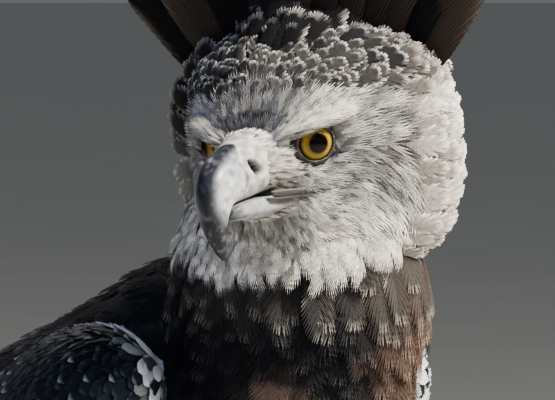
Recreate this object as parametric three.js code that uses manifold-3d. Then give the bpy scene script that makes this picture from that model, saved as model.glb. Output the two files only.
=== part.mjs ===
// Harpy eagle, an adult female at life size, standing still on level ground.
// Body frame: +X is the bird's left, -Y is ahead of it, +Z is up, in millimetres.
// The head is turned over the right shoulder, its crest is raised and both wings are folded.
import * as THREE from "three";
import { mergeGeometries, mergeVertices } from "three/addons/utils/BufferGeometryUtils.js";
import Module from "manifold-3d";

const wasm = await Module();
wasm.setup();

// Driving dimensions
const GAP = 0.3; // between neighbouring pieces
const EYE_HEIGHT = 655; // middle of the eyes above the ground
const HEAD_AHEAD = 120; // middle of the feathered head ahead of the soles
const HEAD_YAW = 67; // degrees, to the bird's right
const HEAD_PITCH = 11; // degrees, bill down
const HEAD_ROLL = 4; // degrees, right side down
const EYES_AHEAD = 64; // of the middle of the feathered head
const EYE_SPREAD = 30; // iris from the middle plane
const EYE_RADIUS = 13;
const CORNEA_RADIUS = 9.4;
const EYE_TURN = 49; // degrees, eye axis from straight ahead
const LID_OPENING = 9.6; // radius
const LID_THICKNESS = 1.8;
const WRIST_SPREAD = 88; // middle of the wing's bend from the middle plane
const WRIST_AHEAD = 53;
const WRIST_BELOW = 128; // under the eyes
const WING_PITCH = 33; // degrees, folded wing below the level
const WING_LEAN = 32; // degrees, upper edge of the folded wing towards the back
const WING_LENGTH = 500; // bend to the longest primary's tip
const WING_COVER = 8; // depth of the feathers over the flesh of the wing
const RUFF_COVER = 6; // depth of the feathers round the back of the head
const TAIL_LENGTH = 415;
const TAIL_PITCH = 27; // degrees below the level
const TAIL_AHEAD = -205;
const TAIL_HEIGHT = 322;
const FOOT_SPREAD = 70;
const ANKLE_HEIGHT = 122;
const ANKLE_AHEAD = -40;
const BALL_HEIGHT = 19;
const SOLE_CUT = 1.2; // the pads are flattened by this much
const SCUTE_RISE = 1.2; // lower edge of each scute over the skin

const UP = new THREE.Vector3(0, 0, 1);
const AHEAD = new THREE.Vector3(0, -1, 0);
const radians = THREE.MathUtils.degToRad;
const degrees = THREE.MathUtils.radToDeg;
const { clamp, lerp } = THREE.MathUtils;

// A place in the body frame or the head frame, from its distance ahead, to the left and up.
const at = (ahead, left, up) => new THREE.Vector3(left, -ahead, up);

// Whole numbers from 0 up to a count.
const each = (count) => Array.from({ length: count }, (_, i) => i);

// Materials
const finish = (color, roughness) => new THREE.MeshStandardMaterial({ color, roughness, metalness: 0 });
const PALE_PLUMAGE = finish(0xb9b8b4, 0.9);
const BLACK_PLUMAGE = finish(0x23242a, 0.85);
const SLATE_PLUMAGE = finish(0x2d323a, 0.75);
const BARRED_TAIL = finish(0x3a3a3e, 0.8);
const WHITE_PLUMAGE = finish(0xe4e1d8, 0.9);
const SLATE_HORN = finish(0x6c7077, 0.35);
const GREY_HORN = finish(0x85878b, 0.4);
const AMBER_EYE = finish(0xb9811e, 0.1);
const YELLOW_SKIN = finish(0xd9b64a, 0.6);
const BLACK_CLAW = finish(0x1c1b1c, 0.3);

// The positions alone, with doubled vertices merged and the triangles without width dropped.
function bare(geometry) {
  const copy = geometry.clone();
  copy.deleteAttribute("normal");
  copy.deleteAttribute("uv");
  const merged = mergeVertices(copy, 1e-3);
  const kept = [];
  const { array } = merged.index;
  for (let i = 0; i < array.length; i += 3) {
    const [a, b, c] = array.slice(i, i + 3);
    if (a !== b && b !== c && c !== a) kept.push(a, b, c);
  }
  merged.setIndex(kept);
  return merged;
}

// Closed geometry as a solid.
function solid(geometry) {
  const merged = bare(geometry);
  return new wasm.Manifold(
    new wasm.Mesh({
      numProp: 3,
      vertProperties: new Float32Array(merged.attributes.position.array),
      triVerts: new Uint32Array(merged.index.array),
    }),
  );
}

// The same geometry with every vertex moved outwards, for the clearance round a neighbour.
function grown(geometry, distance) {
  const merged = bare(geometry);
  merged.computeVertexNormals();
  const { position, normal } = merged.attributes;
  for (let i = 0; i < position.count; i += 1) {
    position.setXYZ(
      i,
      position.getX(i) + distance * normal.getX(i),
      position.getY(i) + distance * normal.getY(i),
      position.getZ(i) + distance * normal.getZ(i),
    );
  }
  return merged;
}

// Several geometries joined into one solid.
const joined = (geometries) => wasm.Manifold.union(geometries.map(solid));

// The largest closed surface of a solid: cuts can leave loose scraps.
function largest(piece) {
  const bodies = piece.decompose();
  bodies.sort((a, b) => b.volume() - a.volume());
  return bodies[0];
}

// A named mesh made from a solid.
function node(name, piece, material) {
  const { vertProperties, triVerts } = largest(piece).getMesh();
  const geometry = new THREE.BufferGeometry();
  geometry.setAttribute("position", new THREE.BufferAttribute(vertProperties, 3));
  geometry.setIndex(new THREE.BufferAttribute(triVerts, 1));
  geometry.computeVertexNormals();
  const mesh = new THREE.Mesh(geometry, material);
  mesh.name = name;
  return mesh;
}

// A smooth surface round a spine. Each station is a distance s along it, a place, and the half
// sizes across, above and below. The squares of the sizes are blended, so that ends of size 0
// are round. Returns the point at a distance, an angle (0 across, 90 above) and a lift.
function surface(stations, above = UP, power = 2) {
  const last = stations.length - 1;
  const spine = new THREE.CatmullRomCurve3(stations.map((station) => station.place));
  const squared = ({ size: [across, over, under] }) => new THREE.Vector3(across ** 2, over ** 2, under ** 2);
  const squares = new THREE.CatmullRomCurve3(stations.map(squared));
  const point = (s, angle, lift = 0) => {
    let i = 0;
    while (i < last - 1 && s > stations[i + 1].s) i += 1;
    const share = (s - stations[i].s) / (stations[i + 1].s - stations[i].s);
    const t = clamp((i + share) / last, 0, 1);
    const tangent = spine.getTangent(t);
    const across = tangent.clone().cross(above).normalize();
    const over = across.clone().cross(tangent);
    const size = squares.getPoint(t);
    const cos = Math.cos(radians(angle));
    const sin = Math.sin(radians(angle));
    const reach = (Math.abs(cos) ** power + Math.abs(sin) ** power) ** (-1 / power);
    const wide = Math.sqrt(Math.max(size.x, 0));
    const tall = Math.sqrt(Math.max(sin > 0 ? size.y : size.z, 0));
    return spine
      .getPoint(t)
      .addScaledVector(across, wide * cos * reach + lift * cos)
      .addScaledVector(over, tall * sin * reach + lift * sin);
  };
  point.from = stations[0].s;
  point.to = stations[last].s;
  return point;
}

// Shorthand for one station of a surface.
const station = (s, place, ...size) => ({ s, place, size });

// Distances along a surface that lie closer together near its two ends.
const ringsOf = (skin, count) =>
  each(count + 1).map((ring) => lerp(skin.from, skin.to, (1 - Math.cos((Math.PI * ring) / count)) / 2));

// The closed form of a surface: the rings of a ball, laid at the given distances along it.
function form(skin, sides, distances, lift = () => 0) {
  const rings = distances.length - 1;
  const ball = new THREE.SphereGeometry(1, sides, rings);
  const { position } = ball.attributes;
  for (let i = 0; i < position.count; i += 1) {
    const ring = Math.floor(i / (sides + 1));
    const s = distances[ring];
    const angle = (360 * (i % (sides + 1))) / sides;
    const pole = ring === 0 || ring === rings;
    const place = pole
      ? skin(s, 0).add(skin(s, 180)).multiplyScalar(0.5)
      : skin(s, angle, lift(ring, angle));
    position.setXYZ(i, place.x, place.y, place.z);
  }
  return ball;
}

// The plain form of a surface, with a count of rings.
const plain = (skin, sides, rings) => form(skin, sides, ringsOf(skin, rings));

// A flat outline given as places ahead and up, extruded from the right to the left.
function slab(outline, reach) {
  const shape = new THREE.Shape(outline.map(([ahead, up]) => new THREE.Vector2(-ahead, up)));
  const block = new THREE.ExtrudeGeometry(shape, { depth: 2 * reach, bevelEnabled: false });
  block.rotateX(Math.PI / 2);
  block.rotateZ(Math.PI / 2);
  block.translate(-reach, 0, 0);
  return block;
}

// Outlines of vanes: shares of the length, each with its share of the full width
const COVERT = [
  [0, 0],
  [0.2, 0.8],
  [0.6, 1],
  [0.88, 0.78],
  [1, 0],
];
const QUILL = [
  [0, 0],
  [0.25, 0.85],
  [0.72, 1],
  [0.94, 0.7],
  [1, 0],
];
const LOCK = [
  [0, 0],
  [0.2, 0.9],
  [0.55, 1],
  [0.82, 0.6],
  [1, 0],
];

// A flat vane, thin at its edges and full along its shaft, with both faces split alike.
// place(share, aside) is the point at a share of its length, so far to one side of the shaft.
function vane(outline, width, thickness, place) {
  const faces = [1, -1].map((face) => {
    const sheet = new THREE.PlaneGeometry(1, 1, 2, outline.length - 1);
    const { position } = sheet.attributes;
    for (let i = 0; i < position.count; i += 1) {
      const [share, spread] = outline[Math.floor(i / 3)];
      const column = (i % 3) - 1;
      const point = place(share, (column * spread * width) / 2);
      if (column === 0 && spread > 0) {
        const along = place(share + 0.01, 0).sub(place(share - 0.01, 0));
        const aside = place(share, 1).sub(place(share, -1));
        point.addScaledVector(along.cross(aside).normalize(), (face * thickness) / 2);
      }
      position.setXYZ(i, point.x, point.y, point.z);
    }
    if (face < 0) sheet.index.array.reverse();
    return sheet;
  });
  return mergeGeometries(faces);
}

// The place function of a vane laid on a surface. from and to are each a distance along it, an
// angle round it and a lift off it. The root dives by sink, and tilt lifts one edge. A vane wraps
// round the surface by a few degrees at most and is flat beyond them.
const ROOT_SHARE = 0.2;
const WRAP = 20;
function laid(skin, from, to, sink, tilt) {
  return (share, aside) => {
    const [s, angle, lift] = from.map((value, i) => lerp(value, to[i], share));
    const height = lift - sink * Math.max(0, 1 - share / ROOT_SHARE);
    const step = (turn) => skin(s, turn + 1, height).sub(skin(s, turn - 1, height));
    const degree = step(angle).length() / 2;
    const turn = clamp(aside / degree, -WRAP, WRAP);
    const flat = step(angle + turn).setLength(aside - turn * degree);
    return skin(s, angle + turn, height + tilt * aside).add(flat);
  };
}

// Neck
const neckSkin = surface(
  [
    station(0, at(62, 0, 455), 0, 0, 0),
    station(1, at(76, 0, 488), 64, 68, 66),
    station(2, at(98, 0, 535), 61, 62, 68),
    station(3, at(112, 0, 576), 63, 60, 72),
    station(4, at(118, 0, 615), 58, 54, 62),
    station(5, at(120, 0, 650), 0, 0, 0),
  ],
  AHEAD,
);

const neckForm = plain(neckSkin, 18, 9);

// Head, in its own frame: the origin is midway between the eyes
const head = new THREE.Group();
head.rotation.set(radians(HEAD_PITCH), radians(-HEAD_ROLL), radians(-HEAD_YAW), "ZXY");
const headMiddle = at(HEAD_AHEAD, 0, EYE_HEIGHT);
const eyesFromMiddle = at(EYES_AHEAD, 0, 0).applyEuler(new THREE.Euler(0, 0, radians(-HEAD_YAW)));
head.position.copy(headMiddle).add(eyesFromMiddle);
head.updateMatrixWorld(true);
const intoHead = head.matrixWorld.clone().invert();

const HEAD_BACK = -138;
const headStations = (cover) => [
  station(HEAD_BACK + cover, at(HEAD_BACK + cover, 0, -10), 0, 0, 0),
  station(-126 + cover, at(-126 + cover, 0, -10), 42 - cover, 38 - cover, 54 - cover),
  station(-100, at(-100, 0, -10), 66 - cover, 54 - cover, 72 - cover),
  station(-68, at(-68, 0, -10), 76 - cover, 61 - cover, 76 - cover),
  station(-42, at(-42, 0, -9), 64 - cover * 0.6, 57 - cover * 0.6, 74 - cover * 0.6),
  station(-20, at(-20, 0, -8), 46, 46, 68),
  station(-4, at(-4, 0, -8), 33, 34, 58),
  station(8, at(8, 0, -8), 25, 25, 36),
  station(14, at(14, 0, -8), 0, 0, 0),
];
const headSkin = surface(headStations(0), UP, 2.5);
const headCore = surface(headStations(RUFF_COVER), UP, 2.5);

const billAbove = at(1, 0, 1).normalize();
const upperBill = surface(
  [
    station(0, at(4, 0, -6), 0, 0, 0),
    station(6, at(8, 0, -6), 19, 15, 14),
    station(18, at(20, 0, -5), 16, 16.3, 14.5),
    station(32, at(34, 0, -5), 12.8, 14.6, 14),
    station(45, at(47, 0, -6), 11, 14, 13),
    station(56, at(57, 0, -11), 9.5, 13.8, 10.5),
    station(67, at(62.5, 0, -21), 7.2, 7, 6.5),
    station(78, at(62, 0, -32), 4.4, 4, 5),
    station(90, at(58.2, 0, -43), 0, 0, 0),
  ],
  billAbove,
);
const lowerBill = surface([
  station(0, at(4, 0, -26), 0, 0, 0),
  station(4, at(8, 0, -26), 19, 8, 7),
  station(16, at(20, 0, -25), 15, 8, 6.6),
  station(32, at(36, 0, -23), 10.5, 8, 5.4),
  station(44, at(48, 0, -22), 7.5, 6, 4),
  station(52, at(55, 0, -21.5), 0, 0, 0),
]);

// The line of the mouth, as places ahead and up
const MOUTH = [
  [-5, -24],
  [10, -21.5],
  [25, -19.5],
  [38, -18.6],
  [46, -18.4],
  [51, -20],
  [55, -25],
];
const MOUTH_SLIT = 1.2; // height of the groove at the corner
const BILL_REACH = 60; // past every side of the bill
const raised = (outline, up) => outline.map(([ahead, height]) => [ahead, height + up]);
const [MOUTH_BACK] = MOUTH[0];
const [MOUTH_FRONT] = MOUTH[MOUTH.length - 1];
const underMouth = [...MOUTH, [MOUTH_FRONT, -BILL_REACH], [MOUTH_BACK, -BILL_REACH]];
const overMouth = [
  ...raised(MOUTH, -GAP),
  [MOUTH_FRONT + BILL_REACH, -25],
  [MOUTH_FRONT + BILL_REACH, BILL_REACH],
  [MOUTH_BACK, BILL_REACH],
];
const mouthCorner = MOUTH.slice(0, 2);
const mouthSlot = [
  ...raised(mouthCorner, MOUTH_SLIT / 2),
  ...raised(mouthCorner, -MOUTH_SLIT / 2).reverse(),
];

const eyeAxis = (side) => at(Math.cos(radians(EYE_TURN)), side * Math.sin(radians(EYE_TURN)), 0);
const eyeMiddle = (side) => at(0, side * EYE_SPREAD, 0).addScaledVector(eyeAxis(side), -0.86 * EYE_RADIUS);

// A ball of the eye, with the clear dome in front of the iris.
function eyeParts(side, clearance) {
  const middle = eyeMiddle(side);
  const dome = middle.clone().addScaledVector(eyeAxis(side), EYE_RADIUS - CORNEA_RADIUS + 0.8);
  const ball = new THREE.SphereGeometry(EYE_RADIUS + clearance, 12, 8);
  const cornea = new THREE.SphereGeometry(CORNEA_RADIUS + clearance, 14, 10);
  return [ball.translate(middle.x, middle.y, middle.z), cornea.translate(dome.x, dome.y, dome.z)];
}

// The lids: a shell round the ball, opened by a short tube a little lower than it is wide.
function lids(side) {
  const middle = eyeMiddle(side);
  const shell = new THREE.SphereGeometry(EYE_RADIUS + LID_THICKNESS, 12, 8);
  return shell.translate(middle.x, middle.y, middle.z);
}
function lidOpening(side) {
  const tube = new THREE.CylinderGeometry(LID_OPENING, LID_OPENING, 30, 14);
  tube.scale(1.03, 1, 0.93);
  tube.rotateZ(side * radians(EYE_TURN));
  const middle = eyeMiddle(side).addScaledVector(eyeAxis(side), 18);
  return tube.translate(middle.x, middle.y, middle.z);
}

// The ridge of the brow, a short spar over each eye.
function brow(side) {
  const spar = surface([
    station(0, at(12, side * 14, 6), 0, 0, 0),
    station(1, at(9, side * 20, 9), 5, 4, 4),
    station(2, at(-2, side * 30, 13), 8, 6, 4.5),
    station(3, at(-18, side * 40, 15), 9, 7, 6),
    station(4, at(-36, side * 46, 14), 0, 0, 0),
  ]);
  return plain(spar, 8, 6);
}

// Crest feathers of one side, from the middle outwards: the place of the root, the length, the
// width and the lean outwards in degrees
const CREST = [
  { left: 14, up: 40, long: 88, wide: 26, lean: 4 },
  { left: 23, up: 38, long: 112, wide: 31, lean: 9 },
  { left: 31, up: 34, long: 128, wide: 34, lean: 14 },
  { left: 39, up: 29, long: 126, wide: 36, lean: 19 },
  { left: 46, up: 22, long: 108, wide: 35, lean: 25 },
  { left: 51, up: 12, long: 84, wide: 31, lean: 31 },
];
const CREST_AHEAD = -56;
const CREST_STEP = 3; // each feather behind the one inside it
const CREST_BACK = 2; // degrees, lean backwards
const CREST_CURL = 8; // bend backwards, 100 mm from the root
const CREST_HOLLOW = 150; // radius of the curve across a feather, doubled
const CREST_THICKNESS = 2;
function crestFeather({ left, up, long, wide, lean }, side, row) {
  const tilt = radians(side * lean);
  const along = at(-Math.sin(radians(CREST_BACK)), Math.sin(tilt), Math.cos(tilt)).normalize();
  const aside = at(0, Math.cos(tilt), -Math.sin(tilt));
  const root = at(CREST_AHEAD - CREST_STEP * row - (side < 0 ? CREST_STEP / 2 : 0), side * left, up);
  return vane(QUILL, wide, CREST_THICKNESS, (share, offset) =>
    root
      .clone()
      .addScaledVector(along, long * share)
      .addScaledVector(aside, offset)
      .add(at(-(offset ** 2) / CREST_HOLLOW - CREST_CURL * ((long * share) / 100) ** 2, 0, 0)),
  );
}
const crest = [1, -1].flatMap((side) => CREST.map((feather, row) => crestFeather(feather, side, row)));
crest.push(crestFeather({ left: 0, up: 40, long: 58, wide: 22, lean: 0 }, 1, -1));

// The ruff: rows of vanes round the back of the face, from the ends of the crest to the throat
const RUFF_ROWS = [
  { root: -34, tip: -79, count: 7, width: 25 },
  { root: -64, tip: -114, count: 6, width: 29 },
];
const RUFF_TOP = 33; // degrees over the level, where the crest begins
const RUFF_LOW = -82; // degrees, at the throat
const RUFF_LIFT = 5; // of the loose tips
const RUFF_LOW_LIFT = -1.5; // of the lowest tips, which lie against the neck
const RUFF_ROOT = -4.5; // lift of the roots
const RUFF_SINK = 6; // of the very ends of the roots
const RUFF_TILT = 0.09; // the upper edge of each lies over the next one up
const RUFF_THICKNESS = 1.4;
const ruff = RUFF_ROWS.flatMap(({ root, tip, count, width }, row) =>
  each(count).flatMap((i) => {
    const angle = lerp(RUFF_TOP, RUFF_LOW, (i + (row % 2) / 2) / (count - 0.5));
    const lift = lerp(RUFF_LOW_LIFT, RUFF_LIFT, clamp((angle + 60) / 60, 0, 1));
    return [1, -1].map((side) => {
      const turn = side > 0 ? angle : 180 - angle;
      const place = laid(headSkin, [root, turn, RUFF_ROOT], [tip, turn, lift], RUFF_SINK, side * RUFF_TILT);
      return vane(COVERT, width, RUFF_THICKNESS, place);
    });
  }),
);

const SLOT_REACH = 50;
const billClearance = joined([grown(plain(upperBill, 14, 14), GAP), grown(plain(lowerBill, 12, 9), GAP)]);
const clearRuff = joined(ruff).subtract(solid(grown(neckForm, GAP).applyMatrix4(intoHead)));
let headSolid = joined([plain(headCore, 20, 14), brow(1), brow(-1), lids(1), lids(-1), ...crest])
  .add(clearRuff)
  .subtract(billClearance)
  .subtract(solid(slab(mouthSlot, SLOT_REACH)));
for (const side of [1, -1]) {
  headSolid = headSolid.subtract(joined(eyeParts(side, GAP))).subtract(solid(lidOpening(side)));
}

// A slanted nostril on each side of the bill's soft base.
function nostril(side) {
  const slit = new THREE.SphereGeometry(1, 8, 6).scale(2.4, 1.5, 4.2);
  slit.rotateX(radians(-35));
  return slit.translate(side * 12.6, -37, -3);
}
const upperSolid = solid(plain(upperBill, 14, 14))
  .subtract(solid(slab(underMouth, SLOT_REACH)))
  .subtract(joined([nostril(1), nostril(-1)]));

// The lower bill stays behind the hook of the upper one.
const HOOK_BACK = 48;
const hookZone = [
  [HOOK_BACK, 20],
  [HOOK_BACK + 42, 20],
  [HOOK_BACK + 42, -BILL_REACH],
  [HOOK_BACK, -BILL_REACH],
];
const hookGap = solid(grown(plain(upperBill, 14, 14), GAP));
const hookClearance = hookGap.intersect(solid(slab(hookZone, SLOT_REACH)));
const lowerSolid = solid(plain(lowerBill, 12, 9))
  .subtract(solid(slab(overMouth, SLOT_REACH)))
  .subtract(hookClearance);

head.add(node("head", headSolid, PALE_PLUMAGE));
head.add(node("bill_upper", upperSolid, SLATE_HORN));
head.add(node("bill_lower", lowerSolid, GREY_HORN));
head.add(node("eye_left", joined(eyeParts(1, 0)), AMBER_EYE));
head.add(node("eye_right", joined(eyeParts(-1, 0)), AMBER_EYE));
const headClearance = solid(grown(plain(headCore, 20, 14), GAP).applyMatrix4(head.matrixWorld));

// Trunk
const trunkSkin = surface([
  station(0, at(140, 0, 500), 0, 0, 0),
  station(1, at(126, 0, 498), 54, 80, 62),
  station(2, at(84, 0, 478), 84, 132, 94),
  station(3, at(25, 0, 448), 96, 134, 112),
  station(4, at(-50, 0, 412), 90, 138, 104),
  station(5, at(-125, 0, 370), 70, 104, 78),
  station(6, at(-190, 0, 334), 44, 44, 42),
  station(7, at(-225, 0, 315), 0, 0, 0),
]);
// Vanes of the mantle, in tiers over the back
const MANTLE_TIERS = [
  { root: 2.75, tip: 3.8, count: 4 },
  { root: 3.4, tip: 4.5, count: 4 },
  { root: 4.15, tip: 5.5, count: 5 },
];
const MANTLE_SPREAD = 30; // degrees each way from the middle of the back
const MANTLE_WIDTH = 42;
const MANTLE_VANE = 1.4; // thickness along the shaft
const MANTLE_ROOT = 1.5; // lift of the roots
const MANTLE_TIP = 7; // lift of the loose tips
const MANTLE_SINK = 11;
const MANTLE_OVER = 1.2; // every other one lies this much over its neighbours
const MANTLE_CLEAR = 3; // from the wings
const mantle = MANTLE_TIERS.flatMap(({ root, tip, count }) =>
  each(count).map((i) => {
    const angle = lerp(90 - MANTLE_SPREAD, 90 + MANTLE_SPREAD, i / (count - 1));
    const over = MANTLE_OVER * (i % 2);
    const from = [root, angle, MANTLE_ROOT + over];
    const to = [tip, angle, MANTLE_TIP + over];
    return vane(COVERT, MANTLE_WIDTH, MANTLE_VANE, laid(trunkSkin, from, to, MANTLE_SINK, 0));
  }),
);

// Folded wing: sizes of its feathered envelope, and the flesh under the feathers
const wingAlong = at(-Math.cos(radians(WING_PITCH)), 0, -Math.sin(radians(WING_PITCH)));
const wingUp = at(-Math.sin(radians(WING_PITCH)), 0, Math.cos(radians(WING_PITCH)));
const wrist = at(WRIST_AHEAD, WRIST_SPREAD, EYE_HEIGHT - WRIST_BELOW);
const wingLean = at(0, -Math.sin(radians(WING_LEAN)), Math.cos(radians(WING_LEAN)));
function wingStation(along, out, up, ...size) {
  const place = wrist.clone().addScaledVector(wingAlong, along).addScaledVector(wingUp, up);
  return station(along, place.add(at(0, out, 0)), ...size);
}
const wingSkin = surface(
  [
    wingStation(-39, 0, 0, 0, 0, 0),
    wingStation(-26, 0, 0, 27, 28, 29),
    wingStation(10, 1, 0, 37, 46, 46),
    wingStation(100, 4, 2, 28, 62, 60),
    wingStation(200, -10, 8, 21, 84, 60),
    wingStation(300, -30, 6, 15, 68, 48),
    wingStation(400, -48, 2, 9, 38, 28),
    wingStation(WING_LENGTH - 24, -56, -2, 5, 16, 14),
    wingStation(WING_LENGTH, -58, -3, 0, 0, 0),
  ],
  wingLean,
);
const inset = WING_COVER / 2;
const wingCore = surface(
  [
    wingStation(-37, 0, 0, 0, 0, 0),
    wingStation(-26, 0, 0, 25, 26, 27),
    wingStation(10, 1 - inset, 0, 37 - inset, 46 - inset, 46 - inset),
    wingStation(100, 4 - inset, 2, 28 - inset, 62 - inset, 60 - inset),
    wingStation(200, -10 - inset, 8, 21 - inset, 84 - inset, 60 - inset),
    wingStation(300, -30 - inset / 2, 4, 15 - inset, 50, 38),
    wingStation(345, -38, 0, 0, 0, 0),
  ],
  wingLean,
);

// Tiers of the wing's feathers. low and high are shares of the envelope's height at the lowest
// and the highest feather, and tips and lifts run from the lowest to the highest too.
const WING_TIERS = [
  { outline: QUILL, count: 5, width: 28, root: 225, tips: [500, 425], lifts: [-10, -1], low: -0.8, high: 0.35 },
  { outline: QUILL, count: 7, width: 35, root: 150, tips: [372, 322], lifts: [1, 0], low: -0.5, high: 0.93 },
  { outline: COVERT, count: 5, width: 42, root: 82, tips: [232, 206], lifts: [1, 0], low: -0.78, high: 0.86 },
  { outline: COVERT, count: 5, width: 38, root: 36, tips: [150, 132], lifts: [1, 0], low: -0.8, high: 0.84 },
  { outline: COVERT, count: 4, width: 38, root: -8, tips: [88, 80], lifts: [1, 0], low: -0.76, high: 0.78 },
];
const WING_VANE = 1.4; // thickness along the shaft
const WING_SINK = 11; // of the ends of the roots
const WING_TILT = -0.1; // the lower edge of each vane lies over the next one down
const wingVanes = WING_TIERS.flatMap(({ count, root, tips, low, high, width, lifts, outline }) =>
  each(count).map((i) => {
    const share = i / (count - 1);
    const angle = degrees(Math.asin(lerp(low, high, share)));
    const from = [root, angle, -WING_COVER / 2];
    const to = [lerp(...tips, share), angle, lerp(...lifts, share)];
    return vane(outline, width, WING_VANE, laid(wingSkin, from, to, WING_SINK, WING_TILT));
  }),
);

const mirrored = (geometry) => {
  const copy = bare(geometry).scale(-1, 1, 1);
  copy.index.array.reverse();
  return copy;
};
const bothSides = (pieces) => joined(pieces.flatMap((piece) => [piece, mirrored(piece)]));
const wingForm = plain(wingCore, 14, 10);
const wingGap = grown(wingForm, GAP);
const wingClearance = bothSides([wingGap, grown(plain(wingSkin, 14, 14), GAP)]);

// Tail: a short core, with the tail feathers in pairs and coverts over and under their roots
const tailAlong = at(-Math.cos(radians(TAIL_PITCH)), 0, -Math.sin(radians(TAIL_PITCH)));
const tailUp = at(-Math.sin(radians(TAIL_PITCH)), 0, Math.cos(radians(TAIL_PITCH)));
const tailRoot = at(TAIL_AHEAD, 0, TAIL_HEIGHT);
const onTail = (along, left, up) =>
  tailRoot.clone().addScaledVector(tailAlong, along).addScaledVector(tailUp, up).add(at(0, left, 0));
const tailCore = surface([
  station(-30, onTail(-30, 0, 0), 0, 0, 0),
  station(-10, onTail(-10, 0, 0), 28, 22, 22),
  station(50, onTail(50, 0, 0), 33, 15, 15),
  station(104, onTail(104, 0, 0), 31, 10, 10),
  station(114, onTail(114, 0, 0), 0, 0, 0),
]);
const TAIL_PAIRS = 6;
const TAIL_FEATHER = 40; // width
const TAIL_STEP = 8.6; // each pair's tips lie this much farther out
const TAIL_LEVEL = 1.7; // and this much lower
const TAIL_VANE = 1.4; // thickness along the shaft
const tailFeathers = each(TAIL_PAIRS).flatMap((pair) =>
  [1, -1].map((side) => {
    const long = TAIL_LENGTH - 2.2 * pair ** 2;
    const out = side * (TAIL_STEP * pair + 3);
    const split = pair < 2 && side < 0 ? 1 : 0; // near the middle the right one lies lower
    const level = 4.5 - TAIL_LEVEL * (pair + Math.min(pair, 2) + split);
    return vane(QUILL, TAIL_FEATHER, TAIL_VANE, (share, aside) => {
      const left = out * lerp(0.45, 1, share) + aside;
      return onTail(lerp(20, long, share), left, level - left ** 2 / 900);
    });
  }),
);
const TAIL_COVERTS = 4;
const TAIL_COVERT_WIDTH = 23;
const TAIL_COVERT_TIP = 146;
const tailCoverts = [1, -1].flatMap((face) =>
  each(TAIL_COVERTS).map((i) => {
    const aside = i - (TAIL_COVERTS - 1) / 2;
    const tip = TAIL_COVERT_TIP - 8 * Math.abs(aside);
    return vane(COVERT, TAIL_COVERT_WIDTH, TAIL_VANE, (share, offset) => {
      const dive = 18 * Math.max(0, 1 - share / ROOT_SHARE);
      const rise = 23 - 11 * share - dive - 2 * Math.abs(aside) + 2 * (i % 2);
      const left = aside * lerp(12, 17, share) + offset;
      return onTail(lerp(0, tip, share), left, face * rise);
    });
  }),
);

// Thigh, in the plumage that reaches down to the ankle
const thighSkin = surface(
  [
    station(0, at(0, 54, 385), 0, 0, 0),
    station(1, at(5, 57, 368), 36, 56, 54),
    station(2, at(20, 61, 312), 50, 70, 68),
    station(3, at(18, 66, 250), 45, 62, 64),
    station(4, at(-10, 69, 190), 33, 43, 48),
    station(5, at(-33, 70, 142), 22, 25, 31),
    station(6, at(-41, 70, 114), 0, 0, 0),
  ],
  AHEAD,
);
const ANKLE = at(ANKLE_AHEAD, FOOT_SPREAD, ANKLE_HEIGHT);
const BALL = at(0, FOOT_SPREAD, BALL_HEIGHT);
const onShank = (share) => ANKLE.clone().lerp(BALL, share);
const tarsusSkin = surface(
  [
    station(-0.1, onShank(-0.1), 0, 0, 0),
    station(0, onShank(0), 15, 17, 17),
    station(0.3, onShank(0.3), 15, 16, 16),
    station(0.75, onShank(0.75), 15, 16, 15),
    station(1, onShank(1), 17, 17, 15),
    station(1.08, onShank(1.08), 0, 0, 0),
  ],
  AHEAD,
);

// Distances along a limb, and the lift there, for a row of scutes: each rises to its far edge.
function scutes(skin, from, to, count) {
  const pitch = (to - from) / count;
  const edges = each(count).flatMap((i) => [from + pitch * i, from + pitch * (i + 0.9)]);
  const distances = [skin.from, lerp(skin.from, from, 0.5), ...edges, to + pitch * 0.4, skin.to];
  const lift = (ring, angle) => {
    const rising = ring >= 2 && ring < 2 + edges.length && ring % 2 === 1;
    return rising && Math.sin(radians(angle)) > -0.1 ? SCUTE_RISE : 0;
  };
  return { distances, lift };
}

// Toes: name, turn from straight ahead in degrees, length, half thickness and claw length
const TOES = [
  { name: "hind", turn: 172, length: 56, half: 13.5, claw: 76 },
  { name: "inner", turn: -34, length: 64, half: 13, claw: 60 },
  { name: "middle", turn: 2, length: 88, half: 12.5, claw: 50 },
  { name: "outer", turn: 38, length: 70, half: 11.5, claw: 42 },
];
const toeAlong = (turn) => at(Math.cos(radians(turn)), Math.sin(radians(turn)), 0);
const onToe = ({ turn, half }, along, up) =>
  BALL.clone()
    .setZ(half - SOLE_CUT + up)
    .addScaledVector(toeAlong(turn), along);
function toeSkin(toe) {
  const { length, half } = toe;
  return surface([
    station(-14, onToe(toe, -14, 2), 0, 0, 0),
    station(-6, onToe(toe, -6, 2), half * 1.1, half + 2, half + 2),
    station(length * 0.35, onToe(toe, length * 0.35, 0), half * 0.95, half, half),
    station(length * 0.7, onToe(toe, length * 0.7, 0), half * 0.9, half, half),
    station(length * 0.95, onToe(toe, length * 0.95, 0), half * 0.85, half, half),
    station(length * 1.06, onToe(toe, length * 1.06, 0.5), 0, 0, 0),
  ]);
}
const TOE_SCUTE = 22; // length of each
function toeForm(toe) {
  const skin = toeSkin(toe);
  const count = Math.round((toe.length * 0.8) / TOE_SCUTE);
  const { distances, lift } = scutes(skin, toe.length * 0.12, toe.length * 0.94, count);
  return form(skin, 8, distances, lift);
}
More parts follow.
